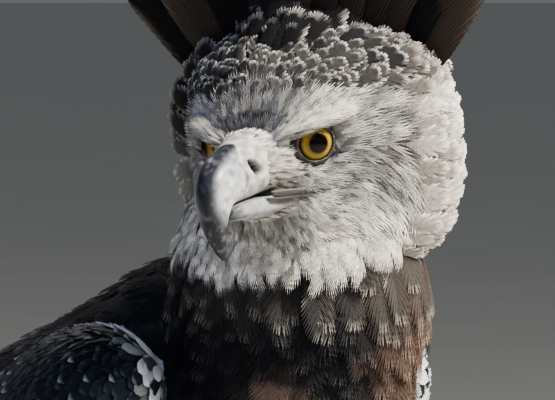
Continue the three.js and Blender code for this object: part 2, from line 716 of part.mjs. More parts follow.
function clawSkin(toe) {
  const { length, half, claw } = toe;
  const thick = 3 + claw * 0.075;
  const ring = (s, along, up, wide, tall) => {
    const size = [thick * wide, thick * tall, thick * tall];
    return station(s, onToe(toe, along, up), ...size);
  };
  return surface([
    ring(0, length * 0.86, 1, 0, 0),
    ring(1, length * 0.92, 1.5, 0.75, 1),
    ring(2, length + claw * 0.3, 6 + claw * 0.08, 0.62, 0.86),
    ring(3, length + claw * 0.62, 2 + claw * 0.03, 0.4, 0.6),
    ring(4, length + claw * 0.84, 1.4 - half + claw * 0.14, 0.2, 0.3),
    ring(5, length + claw * 0.93, SOLE_CUT + 0.4 - half, 0, 0),
  ]);
}

// Loose feathers of the thigh, in rings that hang over the ankle
const CUFF = surface(
  [
    station(0, at(16, 66, 256), 44, 60, 62),
    station(1, at(-8, 69, 196), 35, 45, 50),
    station(2, at(-33, 70, 142), 27, 30, 34),
    station(3, at(-41, 70, 112), 24, 27, 27),
  ],
  AHEAD,
);
const CUFF_ROWS = [
  { root: 0.35, tip: 1.7, count: 8, width: 44 },
  { root: 1.2, tip: 2.75, count: 8, width: 30 },
];
const CUFF_VANE = 2; // thickness along the middle
const CUFF_ROOT = 1; // lift of the roots
const CUFF_TIP = 5; // lift of the loose tips
const CUFF_SINK = 11;
const CUFF_TILT = 0.07;
const cuff = CUFF_ROWS.flatMap(({ root, tip, count, width }, row) =>
  each(count).map((i) => {
    const angle = (360 * (i + row / 2)) / count;
    const place = laid(CUFF, [root, angle, CUFF_ROOT], [tip, angle, CUFF_TIP], CUFF_SINK, CUFF_TILT);
    return vane(LOCK, width, CUFF_VANE, place);
  }),
);

const ground = solid(new THREE.BoxGeometry(2000, 2000, 100).translate(0, 0, -50));
const torsoGap = solid(grown(plain(trunkSkin, 22, 16), GAP));
const torsoSolid = solid(plain(trunkSkin, 22, 16))
  .subtract(bothSides([wingGap]))
  .add(joined(mantle).subtract(bothSides([grown(plain(wingSkin, 14, 14), MANTLE_CLEAR)])));
const neckSolid = solid(neckForm)
  .subtract(torsoGap)
  .subtract(headClearance)
  .subtract(wingClearance);
const tailSolid = joined([plain(tailCore, 10, 7), ...tailFeathers, ...tailCoverts])
  .subtract(torsoGap)
  .subtract(wingClearance);

const bird = new THREE.Group();
bird.add(head);
bird.add(node("neck", neckSolid, BLACK_PLUMAGE));
bird.add(node("torso", torsoSolid, BLACK_PLUMAGE));
bird.add(node("tail", tailSolid, BARRED_TAIL));

const thighGap = solid(grown(plain(thighSkin, 14, 11), GAP));
const toeForms = TOES.map(toeForm);
const footGap = joined(toeForms.map((toe) => grown(toe, GAP)));
const bodyBesideWing = torsoGap.subtract(solid(wingForm));
const wingSolid = joined(wingVanes).subtract(bodyBesideWing).add(solid(wingForm));
const thighSolid = joined([plain(thighSkin, 14, 11), ...cuff]).subtract(torsoGap).subtract(wingClearance);
const shankScutes = scutes(tarsusSkin, 0.18, 0.9, 4);
const tarsusSolid = solid(form(tarsusSkin, 9, shankScutes.distances, shankScutes.lift))
  .subtract(thighGap)
  .subtract(footGap);
const footSolid = joined(toeForms).subtract(ground);

for (const [side, word] of [
  [1, "left"],
  [-1, "right"],
]) {
  const half = new THREE.Group();
  half.scale.x = side;
  half.add(node("wing_" + word, wingSolid, SLATE_PLUMAGE));
  half.add(node("thigh_" + word, thighSolid, WHITE_PLUMAGE));
  half.add(node("tarsus_" + word, tarsusSolid, YELLOW_SKIN));
  half.add(node("foot_" + word, footSolid, YELLOW_SKIN));
  for (const toe of TOES) {
    const clawSolid = solid(plain(clawSkin(toe), 7, 7)).subtract(footGap).subtract(ground);
    half.add(node("claw_" + toe.name + "_" + word, clawSolid, BLACK_CLAW));
  }
  bird.add(half);
}

// The origin is on the ground, under the middle of the bird's bounding box.
bird.updateMatrixWorld(true);
const box = new THREE.Box3().setFromObject(bird, true);
const middle = box.getCenter(new THREE.Vector3());
const root = new THREE.Group();
bird.position.set(-middle.x, -middle.y, -box.min.z);
root.add(bird);

export default root;
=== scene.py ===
# Harpy eagle, an adult female at life size, standing still with her head turned to her right.
# Body frame: +X is the bird's left, -Y is ahead of it, +Z is up. Sizes are in millimetres and are
# turned to metres where a mesh is made.
import math

import bmesh
import bpy
import numpy as np
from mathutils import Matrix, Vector, kdtree
from mathutils.bvhtree import BVHTree


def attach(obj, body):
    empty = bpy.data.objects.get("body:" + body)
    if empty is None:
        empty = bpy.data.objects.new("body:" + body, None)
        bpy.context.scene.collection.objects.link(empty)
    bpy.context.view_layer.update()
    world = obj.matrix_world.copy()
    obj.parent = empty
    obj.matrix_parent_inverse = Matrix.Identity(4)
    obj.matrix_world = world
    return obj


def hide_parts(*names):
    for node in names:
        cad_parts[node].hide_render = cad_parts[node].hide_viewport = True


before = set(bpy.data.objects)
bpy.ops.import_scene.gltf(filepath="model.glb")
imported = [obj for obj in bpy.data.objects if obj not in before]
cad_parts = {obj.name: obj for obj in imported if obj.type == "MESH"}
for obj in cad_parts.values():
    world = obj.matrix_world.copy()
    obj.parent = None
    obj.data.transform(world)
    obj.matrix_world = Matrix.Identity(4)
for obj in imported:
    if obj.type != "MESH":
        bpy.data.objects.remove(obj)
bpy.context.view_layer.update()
scene = bpy.context.scene

MM = 0.001
# From the place where the sizes below start to the middle of the solids' box
SHIFT = np.array([0.0, -184.166, 0.0])

# Sizes that the solids were made from
EYE_HEIGHT, EYES_AHEAD, EYE_SPREAD, EYE_RADIUS, EYE_TURN = 655, 64, 30, 13, 49
HEAD_AHEAD, HEAD_YAW, HEAD_PITCH, HEAD_ROLL = 120, 67, 11, 4
WRIST, WING_PITCH, WING_LEAN, WING_LENGTH = (53, 88, 527), 33, 32, 500
TAIL_ROOT, TAIL_PITCH, TAIL_LENGTH = (-205, 0, 322), 27, 415
ANKLE, BALL, SOLE_CUT = (-40, 70, 122), (0, 70, 19), 1.2

UP = np.array([0.0, 0.0, 1.0])
AHEAD = np.array([0.0, -1.0, 0.0])
SIDES = ((1, "left"), (-1, "right"))


# A place from its distance ahead, to the left and up.
def at(ahead, left, up):
    return np.array([left, -ahead, up], dtype=float)


def unit(vectors):
    return vectors / np.maximum(np.linalg.norm(vectors, axis=-1, keepdims=True), 1e-9)


def turned(degrees, axis):
    cos, sin = math.cos(math.radians(degrees)), math.sin(math.radians(degrees))
    i, j = [(1, 2), (2, 0), (0, 1)][axis]
    matrix = np.eye(3)
    matrix[i, i] = matrix[j, j] = cos
    matrix[i, j], matrix[j, i] = -sin, sin
    return matrix


# The head's own frame starts midway between the eyes.
head_turn = turned(-HEAD_YAW, 2) @ turned(HEAD_PITCH, 0) @ turned(-HEAD_ROLL, 1)
head_middle = at(HEAD_AHEAD, 0, EYE_HEIGHT) + turned(-HEAD_YAW, 2) @ at(EYES_AHEAD, 0, 0)


def from_head(points):
    return points @ head_turn.T + head_middle


def out_of_head(points):
    return from_head(points) + SHIFT


def into_head(points):
    return (points - SHIFT - head_middle) @ head_turn


# How far ahead, to the left and up the points lie in the head's frame.
def head_places(points):
    local = into_head(points)
    return -local[:, 1], local[:, 0], local[:, 2]


def mirror(points):
    return points * np.array([-1.0, 1.0, 1.0])


# 0 below one value, 1 above another, smooth between them.
def ramp(values, low, high):
    t = np.clip((values - low) / (high - low), 0, 1)
    return t * t * (3 - 2 * t)


# A smooth curve through points, read at shares from 0 to 1.
def curve(points, share):
    last = len(points) - 1
    place = np.clip(share, 0, 1) * last
    i = np.minimum(place.astype(int), last - 1)
    w = (place - i)[:, None]
    padded = np.vstack([2 * points[0] - points[1], points, 2 * points[-1] - points[-2]])
    a, b, c, d = (padded[i + k] for k in range(4))

    def span(u, v):
        return np.sum((u - v) ** 2, axis=1, keepdims=True) ** 0.25

    d1 = np.where(span(b, c) < 1e-4, 1, span(b, c))
    d0 = np.where(span(a, b) < 1e-4, d1, span(a, b))
    d2 = np.where(span(c, d) < 1e-4, d1, span(c, d))
    t1 = ((b - a) / d0 - (c - a) / (d0 + d1) + (c - b) / d1) * d1
    t2 = ((c - b) / d1 - (d - b) / (d1 + d2) + (d - c) / d2) * d1
    return b + w * t1 + w**2 * (-3 * b + 3 * c - 2 * t1 - t2) + w**3 * (2 * b - 2 * c + t1 + t2)


# A smooth surface round a spine. Each row is a place, which where() reads, and the half sizes
# across, above and below, which a closed end leaves out. Its distance s is given, or is its first
# value, or its number.
class Surface:
    def __init__(self, rows, s=None, first=False, above=UP, power=2.0, place=None, where=at):
        self.s = np.array([row[0] for row in rows] if first else s or range(len(rows)), dtype=float)
        self.spine = np.array([where(*row[:3]) for row in rows])
        self.squares = np.array([row[3:] or (0, 0, 0) for row in rows], dtype=float) ** 2
        self.above = above
        self.power = power
        self.place = place or (lambda points: points)
        self.low, self.high = self.s[0], self.s[-1]

    def raw(self, s, angle, lift):
        last = len(self.s) - 1
        s = np.asarray(s, dtype=float)
        i = np.clip(np.searchsorted(self.s, s, side="right") - 1, 0, last - 1)
        t = np.clip((i + (s - self.s[i]) / (self.s[i + 1] - self.s[i])) / last, 0, 1)
        near = curve(self.spine, np.clip(t - 1e-4, 0, 1))
        along = unit(curve(self.spine, np.clip(t + 1e-4, 0, 1)) - near)
        across = unit(np.cross(along, self.above))
        over = np.cross(across, along)
        size = np.sqrt(np.maximum(curve(self.squares, t), 0))
        cos = np.cos(np.radians(angle))[:, None]
        sin = np.sin(np.radians(angle))[:, None]
        reach = (np.abs(cos) ** self.power + np.abs(sin) ** self.power) ** (-1 / self.power)
        tall = np.where(sin > 0, size[:, 1:2], size[:, 2:3])
        lift = np.broadcast_to(np.asarray(lift, dtype=float), s.shape)[:, None]
        point = curve(self.spine, t) + across * (size[:, :1] * cos * reach + lift * cos)
        return point + over * (tall * sin * reach + lift * sin)

    def point(self, s, angle, lift=0.0):
        return self.place(self.raw(s, angle, lift)) + SHIFT

    # The point, the step for one unit of s, the step for one degree, and the outward direction.
    def local(self, s, angle):
        spread = (self.high - self.low) * 2e-4
        s = np.clip(s, self.low + spread, self.high - spread)
        middle = self.point(s, angle)
        step = (self.point(s + spread, angle) - self.point(s - spread, angle)) / (2 * spread)
        side = self.point(s, angle + 1) - self.point(s, angle - 1)
        out = unit(np.cross(step, side))
        outward = self.point(s, angle, 1.0) - middle
        out *= np.sign(np.sum(out * outward, axis=1, keepdims=True))
        return middle, step, side / 2, out


# The directions along and over a part that runs back and down.
def slope(degrees):
    angle = math.radians(degrees)
    return at(-math.cos(angle), 0, -math.sin(angle)), at(-math.sin(angle), 0, math.cos(angle))


wing_along, wing_up = slope(WING_PITCH)
tail_along, tail_up = slope(TAIL_PITCH)
wing_lean = at(0, -math.sin(math.radians(WING_LEAN)), math.cos(math.radians(WING_LEAN)))


def on_wing(along, out, up):
    return at(*WRIST) + wing_along * along + wing_up * up + at(0, out, 0)


def on_tail(along, left, up):
    return at(*TAIL_ROOT) + tail_along * along + tail_up * up + at(0, left, 0)


def on_shank(share, left, up):
    return at(*ANKLE) * (1 - share) + at(*BALL) * share + at(0, left, up)


def on_toe(turn, half):
    way = at(math.cos(math.radians(turn)), math.sin(math.radians(turn)), 0)
    return lambda along, left, up: at(*BALL[:2], half - SOLE_CUT + up) + way * along


# Rows of the solids
NECK = Surface([
    (62, 0, 455),
    (76, 0, 488, 64, 68, 66),
    (98, 0, 535, 61, 62, 68),
    (112, 0, 576, 63, 60, 72),
    (118, 0, 615, 58, 54, 62),
    (120, 0, 650),
], above=AHEAD)
HEAD = Surface([
    (-132, 0, -10),
    (-120, 0, -10, 36, 32, 48),
    (-100, 0, -10, 60, 48, 66),
    (-68, 0, -10, 70, 55, 70),
    (-42, 0, -9, 60.4, 53.4, 70.4),
    (-20, 0, -8, 46, 46, 68),
    (-4, 0, -8, 33, 34, 58),
    (8, 0, -8, 25, 25, 36),
    (14, 0, -8),
], first=True, power=2.5, place=from_head)
TRUNK = Surface([
    (140, 0, 500),
    (126, 0, 498, 54, 80, 62),
    (84, 0, 478, 84, 132, 94),
    (25, 0, 448, 96, 134, 112),
    (-50, 0, 412, 90, 138, 104),
    (-125, 0, 370, 70, 104, 78),
    (-190, 0, 334, 44, 44, 42),
    (-225, 0, 315),
])
WING = Surface([
    (-39, 0, 0),
    (-26, 0, 0, 27, 28, 29),
    (10, 1, 0, 37, 46, 46),
    (100, 4, 2, 28, 62, 60),
    (200, -10, 8, 21, 84, 60),
    (300, -30, 6, 15, 68, 48),
    (400, -48, 2, 9, 38, 28),
    (WING_LENGTH - 24, -56, -2, 5, 16, 14),
    (WING_LENGTH, -58, -3),
], first=True, above=wing_lean, where=on_wing)
WING_CORE = Surface([
    (-35, 0, 0),
    (-26, 0, 0, 24, 25, 26),
    (10, -3, 0, 32, 41, 41),
    (100, 0, 2, 23, 57, 55),
    (200, -14, 8, 16, 79, 55),
    (300, -32, 4, 10, 46, 34),
    (345, -38, 0),
], first=True, above=wing_lean, where=on_wing)
TAIL = Surface([
    (-30, 0, 0),
    (-10, 0, 0, 26, 20, 20),
    (50, 0, 0, 31, 13, 13),
    (104, 0, 0, 29, 8, 8),
    (114, 0, 0),
], first=True, where=on_tail)
THIGH = Surface([
    (0, 54, 385),
    (5, 57, 368, 36, 56, 54),
    (20, 61, 312, 50, 70, 68),
    (18, 66, 250, 45, 62, 64),
    (-10, 69, 190, 33, 43, 48),
    (-33, 70, 142, 22, 25, 31),
    (-41, 70, 114),
], above=AHEAD)
TARSUS = Surface([
    (-0.1, 0, 0),
    (0, 0, 0, 15, 17, 17),
    (0.3, 0, 0, 15, 16, 16),
    (0.75, 0, 0, 15, 16, 15),
    (1, 0, 0, 17, 17, 15),
    (1.08, 0, 0),
], first=True, above=AHEAD, where=on_shank)
UPPER_BILL = Surface([
    (4, 0, -6),
    (8, 0, -6, 19, 15, 14),
    (20, 0, -5, 16, 16.3, 14.5),
    (34, 0, -5, 12.8, 14.6, 14),
    (47, 0, -6, 11, 14, 13),
    (57, 0, -11, 9.5, 13.8, 10.5),
    (62.5, 0, -21, 7.2, 7, 6.5),
    (62, 0, -32, 4.4, 4, 5),
    (58.2, 0, -43),
], s=[0, 6, 18, 32, 45, 56, 67, 78, 90], above=unit(at(1, 0, 1)), place=from_head)
LOWER_BILL = Surface([
    (4, 0, -26),
    (8, 0, -26, 19, 8, 7),
    (20, 0, -25, 15, 8, 6.6),
    (36, 0, -23, 10.5, 8, 5.4),
    (48, 0, -22, 7.5, 6, 4),
    (55, 0, -21.5),
], s=[0, 4, 16, 32, 44, 52], place=from_head)
MOUTH_AHEAD = [-5, 10, 25, 38, 46, 51, 55]
MOUTH_UP = [-24, -21.5, -19.5, -18.6, -18.4, -20, -25]
# Toes: name, turn from straight ahead in degrees, length, half thickness and claw length
TOES = [
    ("hind", 172, 56, 13.5, 76),
    ("inner", -34, 64, 13.0, 60),
    ("middle", 2, 88, 12.5, 50),
    ("outer", 38, 70, 11.5, 42),
]


def toe_surface(turn, length, half):
    rows = [
        (-14, 2, 0, 0),
        (-6, 2, half * 1.1, half + 2),
        (length * 0.35, 0, half * 0.95, half),
        (length * 0.7, 0, half * 0.9, half),
        (length * 0.95, 0, half * 0.85, half),
        (length * 1.06, 0.5, 0, 0),
    ]
    rows = [(along, 0, up, w, h, h) for along, up, w, h in rows]
    return Surface(rows, first=True, where=on_toe(turn, half))


def claw_surface(turn, length, half, claw):
    thick = 3 + claw * 0.075
    rows = [
        (length * 0.86, 1, 0, 0),
        (length * 0.92, 1.5, 0.75, 1),
        (length + claw * 0.3, 6 + claw * 0.08, 0.62, 0.86),
        (length + claw * 0.62, 2 + claw * 0.03, 0.4, 0.6),
        (length + claw * 0.84, 1.4 - half + claw * 0.14, 0.2, 0.3),
        (length + claw * 0.93, SOLE_CUT + 0.4 - half, 0, 0),
    ]
    rows = [(along, 0, up, w * thick, h * thick, h * thick) for along, up, w, h in rows]
    return Surface(rows, where=on_toe(turn, half))


# A form on one side of the head, from rows for the left side.
def side_form(rows, side):
    return Surface([(ahead, side * left, *row) for ahead, left, *row in rows], place=from_head)


# The ridge of the brow, and the flesh of the lores beside the base of the bill
BROW_ROWS = [
    (15, 11, 4),
    (9, 18, 7.5, 5.5, 2.8, 3.2),
    (0, 26, 10.5, 8, 3.2, 3.4),
    (-14, 34, 12, 9, 3, 3.6),
    (-32, 38, 12),
]
LORE_ROWS = [
    (27, 10, -6),
    (19, 13, -6, 4, 7, 9),
    (8, 18, -8, 6.5, 8, 10),
    (-6, 24, -10),
]
BROWS, LORES = ([side_form(rows, side) for side, _ in SIDES] for rows in (BROW_ROWS, LORE_ROWS))


# sRGB hex to linear
def linear(code):
    parts = [int(code[i : i + 2], 16) / 255 for i in (1, 3, 5)]
    return np.array([c / 12.92 if c <= 0.04045 else ((c + 0.055) / 1.055) ** 2.4 for c in parts])


# One shader node with its settings and its links or values. It gives one of its outputs.
def add(tree, kind, inputs=None, output=0, **settings):
    node = tree.nodes.new("ShaderNode" + kind)
    for key, value in settings.items():
        setattr(node, key, value)
    for socket, source in (inputs or {}).items():
        if isinstance(source, bpy.types.NodeSocket):
            tree.links.new(source, node.inputs[socket])
        else:
            node.inputs[socket].default_value = source
    return node.outputs[output] if len(node.outputs) else None


def new_tree(name):
    material = bpy.data.materials.new(name)
    material.use_nodes = True
    material.node_tree.nodes.clear()
    return material, material.node_tree


# A material with the place on the piece and its markings
def marked(name):
    material, tree = new_tree(name)
    place = add(tree, "TexCoord", output="Object")
    return material, tree, place, add(tree, "Attribute", attribute_name="Markings")


# The shader: a colour times a shade, and a relief in millimetres where the surface has one
def closed(material, colour, shade, relief, settings):
    tree = material.node_tree
    if shade:
        colour = add(tree, "VectorMath", {0: colour, "Scale": shade}, operation="SCALE")
    if relief:
        height, depth, strength = relief
        bump = {"Height": height, "Distance": depth * MM, "Strength": strength}
        settings = {"Normal": add(tree, "Bump", bump), **settings}
    shader = add(tree, "BsdfPrincipled", {"Base Color": colour, **settings})
    add(tree, "OutputMaterial", {"Surface": shader})
    return material


# Keratin of feathers: matt, with fine parallel barbs. The colour comes from the markings, the
# barbs run obliquely from the shaft, barbs_per_vane of them, and darken and raise the vane.
def feather_material(name, barbs_per_vane, depth, roughness, sheen, gloss, tint="#FFFFFF"):
    material, tree, place, marks = marked(name)
    x = add(tree, "SeparateXYZ", {0: add(tree, "UVMap", uv_map="Vane")})
    aside = add(tree, "Math", {0: x, 1: 0.5}, operation="SUBTRACT")
    out = add(tree, "Math", {0: aside}, operation="ABSOLUTE")
    oblique = {0: out, 1: -0.9, 2: x.node.outputs["Y"]}
    oblique = add(tree, "Math", oblique, operation="MULTIPLY_ADD")
    phase = add(tree, "Math", {0: oblique, 1: barbs_per_vane * 2 * math.pi}, operation="MULTIPLY")
    wave = add(tree, "Math", {0: phase}, operation="SINE")
    # Clumps of barbs about 1.5 mm wide
    clumps = add(tree, "TexNoise", {"Vector": place, "Scale": 650.0, "Detail": 3.0})
    ridge = add(tree, "Math", {0: wave, 1: 0.5, 2: clumps}, operation="MULTIPLY_ADD")
    shade = {"Value": ridge, "From Min": -0.1, "From Max": 1.0, "To Min": 0.72, "To Max": 1.15}
    return closed(material, marks, add(tree, "MapRange", shade), (ridge, depth, 0.7), {
        "Roughness": roughness, "Sheen Weight": sheen, "Sheen Roughness": 0.5,
        "Specular IOR Level": gloss, "Specular Tint": (*linear(tint), 1),
    })


DOWN = feather_material("face_down", 9, 0.25, 0.85, 0.03, 0.08)
CONTOUR = feather_material("contour_feather", 22, 0.35, 0.75, 0.0, 0.04)
FLIGHT = feather_material("flight_feather", 60, 0.3, 0.48, 0.0, 0.26, "#93ADD2")


# Skin under the feathers, in the same markings and painted darker, as the shade under them, with down 2
# mm across.
def under_skin():
    material, tree, place, marks = marked("downy_skin")
    down = add(tree, "TexNoise", {"Vector": place, "Scale": 450.0, "Detail": 4.0})
    shade = add(tree, "MapRange", {"Value": down, "To Min": 0.35, "To Max": 0.85})
    return closed(material, marks, shade, (down, 0.8, 0.8), {"Roughness": 0.9})


UNDER = under_skin()


# Horn: smooth and glossy keratin with faint growth streaks and cloudy mottling.
def horn_material(name, roughness, mottle_mm, mottle, coat):
    material, tree, place, marks = marked(name)
    wet = add(tree, "Attribute", attribute_name="Soft", output="Fac")
    clouds = add(tree, "TexNoise", {"Vector": place, "Scale": 1000 / mottle_mm, "Detail": 5.0})
    fine = add(tree, "TexNoise", {"Vector": place, "Scale": 1400.0, "Detail": 3.0})
    shade = {"Value": clouds, "From Min": 0.35, "From Max": 0.65}
    shade = add(tree, "MapRange", {**shade, "To Min": 1 - mottle, "To Max": 1 + mottle})
    # The soft base is duller and wrinkled, the horn is polished
    rough = add(tree, "MapRange", {"Value": wet, "To Min": roughness, "To Max": 0.6})
    relief = add(tree, "Math", {0: fine, 1: wet}, operation="MULTIPLY")
    height = add(tree, "Math", {0: clouds, 1: 0.35, 2: relief}, operation="MULTIPLY_ADD")
    # Near-black markings, such as the painted shade inside the nostrils, are matt
    matt = {"Value": add(tree, "RGBToBW", {0: marks}), "From Min": 0.004, "From Max": 0.012}
    matt = add(tree, "MapRange", {**matt, "To Min": 0.6, "To Max": 0.0})
    rough = add(tree, "Math", {0: rough, 1: matt}, operation="ADD", use_clamp=True)
    return closed(material, marks, shade, (height, 0.35, 0.6), {
        "Roughness": rough, "Specular IOR Level": 0.12, "IOR": 1.55,
        "Coat Weight": coat, "Coat Roughness": 0.22,
    })


BILL_HORN = horn_material("bill_horn", 0.34, 4.5, 0.32, 0.08)
CLAW_HORN = horn_material("claw_horn", 0.28, 12, 0.2, 0.35)

# Tones from the middle of the pupil to the rim of the iris, by the share of its radius
IRIS_TONES = [
    (0.0, "#040302"),
    (0.485, "#030202"),
    (0.525, "#33240A"),
    (0.6, "#6A5418"),
    (0.74, "#826C22"),
    (0.86, "#4C3A10"),
    (0.92, "#150C06"),
    (1.0, "#070505"),
]


# Eye: a wet clear dome over a coloured iris with radial fibres, painted by the ball's own map.
def eye_material():
    material, tree = new_tree("eye_amber")
    plane = add(tree, "UVMap", uv_map="Iris")
    centred = add(tree, "VectorMath", {0: plane, 1: (0.5, 0.5, 0.0)}, operation="SUBTRACT")
    radius = add(tree, "VectorMath", {0: centred}, output="Value", operation="LENGTH")
    direction = add(tree, "VectorMath", {0: centred}, operation="NORMALIZE")
    # Fibres: noise along the angle and almost constant along the radius
    fibres = add(tree, "TexNoise", {"Vector": direction, "Scale": 16.0, "Detail": 4.0})
    flecks = add(tree, "TexNoise", {"Vector": centred, "Scale": 38.0, "Detail": 3.0})
    mixed = add(tree, "Math", {0: fibres, 1: 0.6, 2: flecks}, operation="MULTIPLY_ADD")
    share = add(tree, "Math", {0: radius, 1: 2.0}, operation="MULTIPLY")
    ring = add(tree, "ValToRGB", {"Fac": share})
    stops = ring.node.color_ramp.elements
    for i, (share, code) in enumerate(IRIS_TONES):
        stop = stops[i] if i < 2 else stops.new(share)
        stop.position = share
        stop.color = (*linear(code), 1)
    shade = {"Value": mixed, "From Min": 0.5, "From Max": 1.1, "To Min": 0.75, "To Max": 1.3}
    return closed(material, ring, add(tree, "MapRange", shade), None, {
        "Roughness": 0.6, "Specular IOR Level": 0.0,
        "Coat Weight": 0.25, "Coat Roughness": 0.05, "Coat IOR": 1.38,
    })


EYE = eye_material()


# Bare skin of lids, mouth and feet: finely wrinkled, a little oily.
def bare_skin(name, wrinkle_mm, roughness, depth):
    material, tree, place, marks = marked(name)
    cells = {"Vector": place, "Scale": 1000 / wrinkle_mm}
    cells = add(tree, "TexVoronoi", cells, feature="DISTANCE_TO_EDGE")
    fine = add(tree, "TexNoise", {"Vector": place, "Scale": 900.0, "Detail": 4.0})
    groove = add(tree, "MapRange", {"Value": cells, "From Max": 0.12})
    height = add(tree, "Math", {0: fine, 1: 0.5, 2: groove}, operation="MULTIPLY_ADD")
    shade = {"Value": height, "From Max": 1.4, "To Min": 0.62, "To Max": 1.12}
    settings = {"Roughness": roughness, "Specular IOR Level": 0.45}
    return closed(material, marks, add(tree, "MapRange", shade), (height, depth, 0.7), settings)


LID_SKIN = bare_skin("lid_skin", 1.1, 0.45, 0.2)
MOUTH_SKIN = bare_skin("mouth_skin", 1.4, 0.8, 0.3)
FOOT_SKIN = bare_skin("foot_skin", 2.4, 0.5, 0.35)


def placed(name, data):
    thing = bpy.data.objects.new(name, data)
    scene.collection.objects.link(thing)
    return thing


# Each piece rides on the root, and some stand for nodes of the solids, which are hidden. Its slot is not
# used.
def entered(piece, slot, *nodes):
    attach(piece, "root")
    if nodes:
        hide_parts(*nodes)


def set_markings(mesh, colours):
    values = np.ones((len(colours), 4), dtype=np.float32)
    values[:, :3] = np.clip(colours, 0, 1)
    layer = mesh.color_attributes.new("Markings", "FLOAT_COLOR", "POINT")
    layer.data.foreach_set("color", values.ravel())


# A piece from points in millimetres, triangles, and per point values.
def piece_from(name, points, faces, material, colours, slot, *nodes, uvs=None, soft=None):
    mesh = bpy.data.meshes.new(name)
    mesh.vertices.add(len(points))
    mesh.vertices.foreach_set("co", (points * MM).astype(np.float32).ravel())
    mesh.loops.add(faces.size)
    mesh.loops.foreach_set("vertex_index", faces.astype(np.int32).ravel())
    mesh.polygons.add(len(faces))
    mesh.polygons.foreach_set("loop_start", np.arange(0, faces.size, 3, dtype=np.int32))
    mesh.update(calc_edges=True)
    mesh.polygons.foreach_set("use_smooth", np.ones(len(faces), dtype=bool))
    for key, values in (uvs or {}).items():
        layer = mesh.uv_layers.new(name=key)
        layer.data.foreach_set("uv", values[faces.ravel()].astype(np.float32).ravel())
    set_markings(mesh, colours)
    if soft is not None:
        layer = mesh.attributes.new("Soft", "FLOAT", "POINT")
        layer.data.foreach_set("value", soft.astype(np.float32))
    mesh.materials.append(material)
    entered(placed(name, mesh), slot, *nodes)


# Points and triangles of a bmesh.
def arrays_of(bm):
    bmesh.ops.triangulate(bm, faces=bm.faces)
    points = np.array([v.co for v in bm.verts])
    faces = np.array([[v.index for v in face.verts] for face in bm.faces])
    bm.free()
    return points, faces


# Twice the area of each triangle, along its normal.
def normals_of(points, faces):
    corners = points[faces]
    return np.cross(corners[:, 1] - corners[:, 0], corners[:, 2] - corners[:, 0])


def ball_of(around, along):
    bm = bmesh.new()
    bmesh.ops.create_uvsphere(bm, u_segments=around, v_segments=along, radius=1.0)
    points, faces = arrays_of(bm)
    # Blender cuts the faces in an order that changes from run to run
    start = faces.argmin(axis=1)[:, None]
    faces = np.take_along_axis(faces, (start + np.arange(3)) % 3, axis=1)
    return points, faces[np.lexsort(faces.T)]


# A ball laid on a surface: points in millimetres, faces, and each point's s and angle.
def laid_ball(skin, around, along, lift=lambda s, angle: 0.0):
    ball, faces = ball_of(around, along)
    s = skin.low + (skin.high - skin.low) * (1 - ball[:, 2]) / 2
    angle = np.degrees(np.arctan2(ball[:, 1], ball[:, 0])) % 360
    points = skin.point(s, angle, lift(s, angle))
    for end in (1, -1):
        pole = np.abs(ball[:, 2] - end) < 1e-6
        points[pole] = (skin.point(s[pole], angle[pole]) + skin.point(s[pole], angle[pole] + 180)) / 2
    outward = points[faces].mean(axis=1) - points.mean(axis=0)
    if np.sum(normals_of(points, faces) * outward) < 0:
        faces = faces[:, ::-1]
    return points, faces, s, angle


def flipped(points, faces):
    return mirror(points), faces[:, ::-1]


def eye_axis(side):
    turn = math.radians(EYE_TURN)
    return at(math.cos(turn), side * math.sin(turn), 0)


# The middle of an eye's ball, and the directions aside, up and out of it, in the head's frame.
def eye_frame(side):
    axis = eye_axis(side)
    aside = unit(np.cross(UP, axis))
    return at(0, side * EYE_SPREAD, 0) - axis * 0.86 * EYE_RADIUS, aside, np.cross(axis, aside), axis


# Several closed forms as one skin without seams.
def one_skin(name, forms, voxel, rounds):
    points, faces, start = [], [], 0
    for form_points, form_faces in forms:
        points.append(form_points)
        faces.append(form_faces + start)
        start += len(form_points)
    mesh = bpy.data.meshes.new(name + "_forms")
    mesh.from_pydata((np.vstack(points) * MM).tolist(), [], np.vstack(faces).tolist())
    shell = placed(name + "_forms", mesh)
    remesh = shell.modifiers.new("remesh", "REMESH")
    remesh.mode = "VOXEL"
    remesh.voxel_size = voxel * MM
    smooth = shell.modifiers.new("smooth", "SMOOTH")
    smooth.factor = 0.5
    smooth.iterations = rounds
    evaluated = shell.evaluated_get(bpy.context.evaluated_depsgraph_get())
    result = bpy.data.meshes.new_from_object(evaluated)
    bpy.data.objects.remove(shell)
    result.name = name
    for polygon in result.polygons:
        polygon.use_smooth = True
    return placed(name, result)


COAT_DEPTH = 6  # of the feathers over the skin on neck, trunk and thighs


def form_of(skin, around, along, depth=0):
    return laid_ball(skin, around, along, lambda s, angle: -depth)[:2]


forms = [form_of(surface, 20, 16) for surface in BROWS + LORES]
forms += [form_of(HEAD, 48, 40), form_of(NECK, 40, 24, COAT_DEPTH), form_of(TRUNK, 48, 40, COAT_DEPTH)]
for form in (form_of(WING_CORE, 32, 32), form_of(THIGH, 32, 32, COAT_DEPTH)):
    forms += [form, flipped(*form)]
forms.append(form_of(TAIL, 24, 16))
skin_piece = one_skin("skin", forms, 3.0, 4)
skin_mesh = skin_piece.data


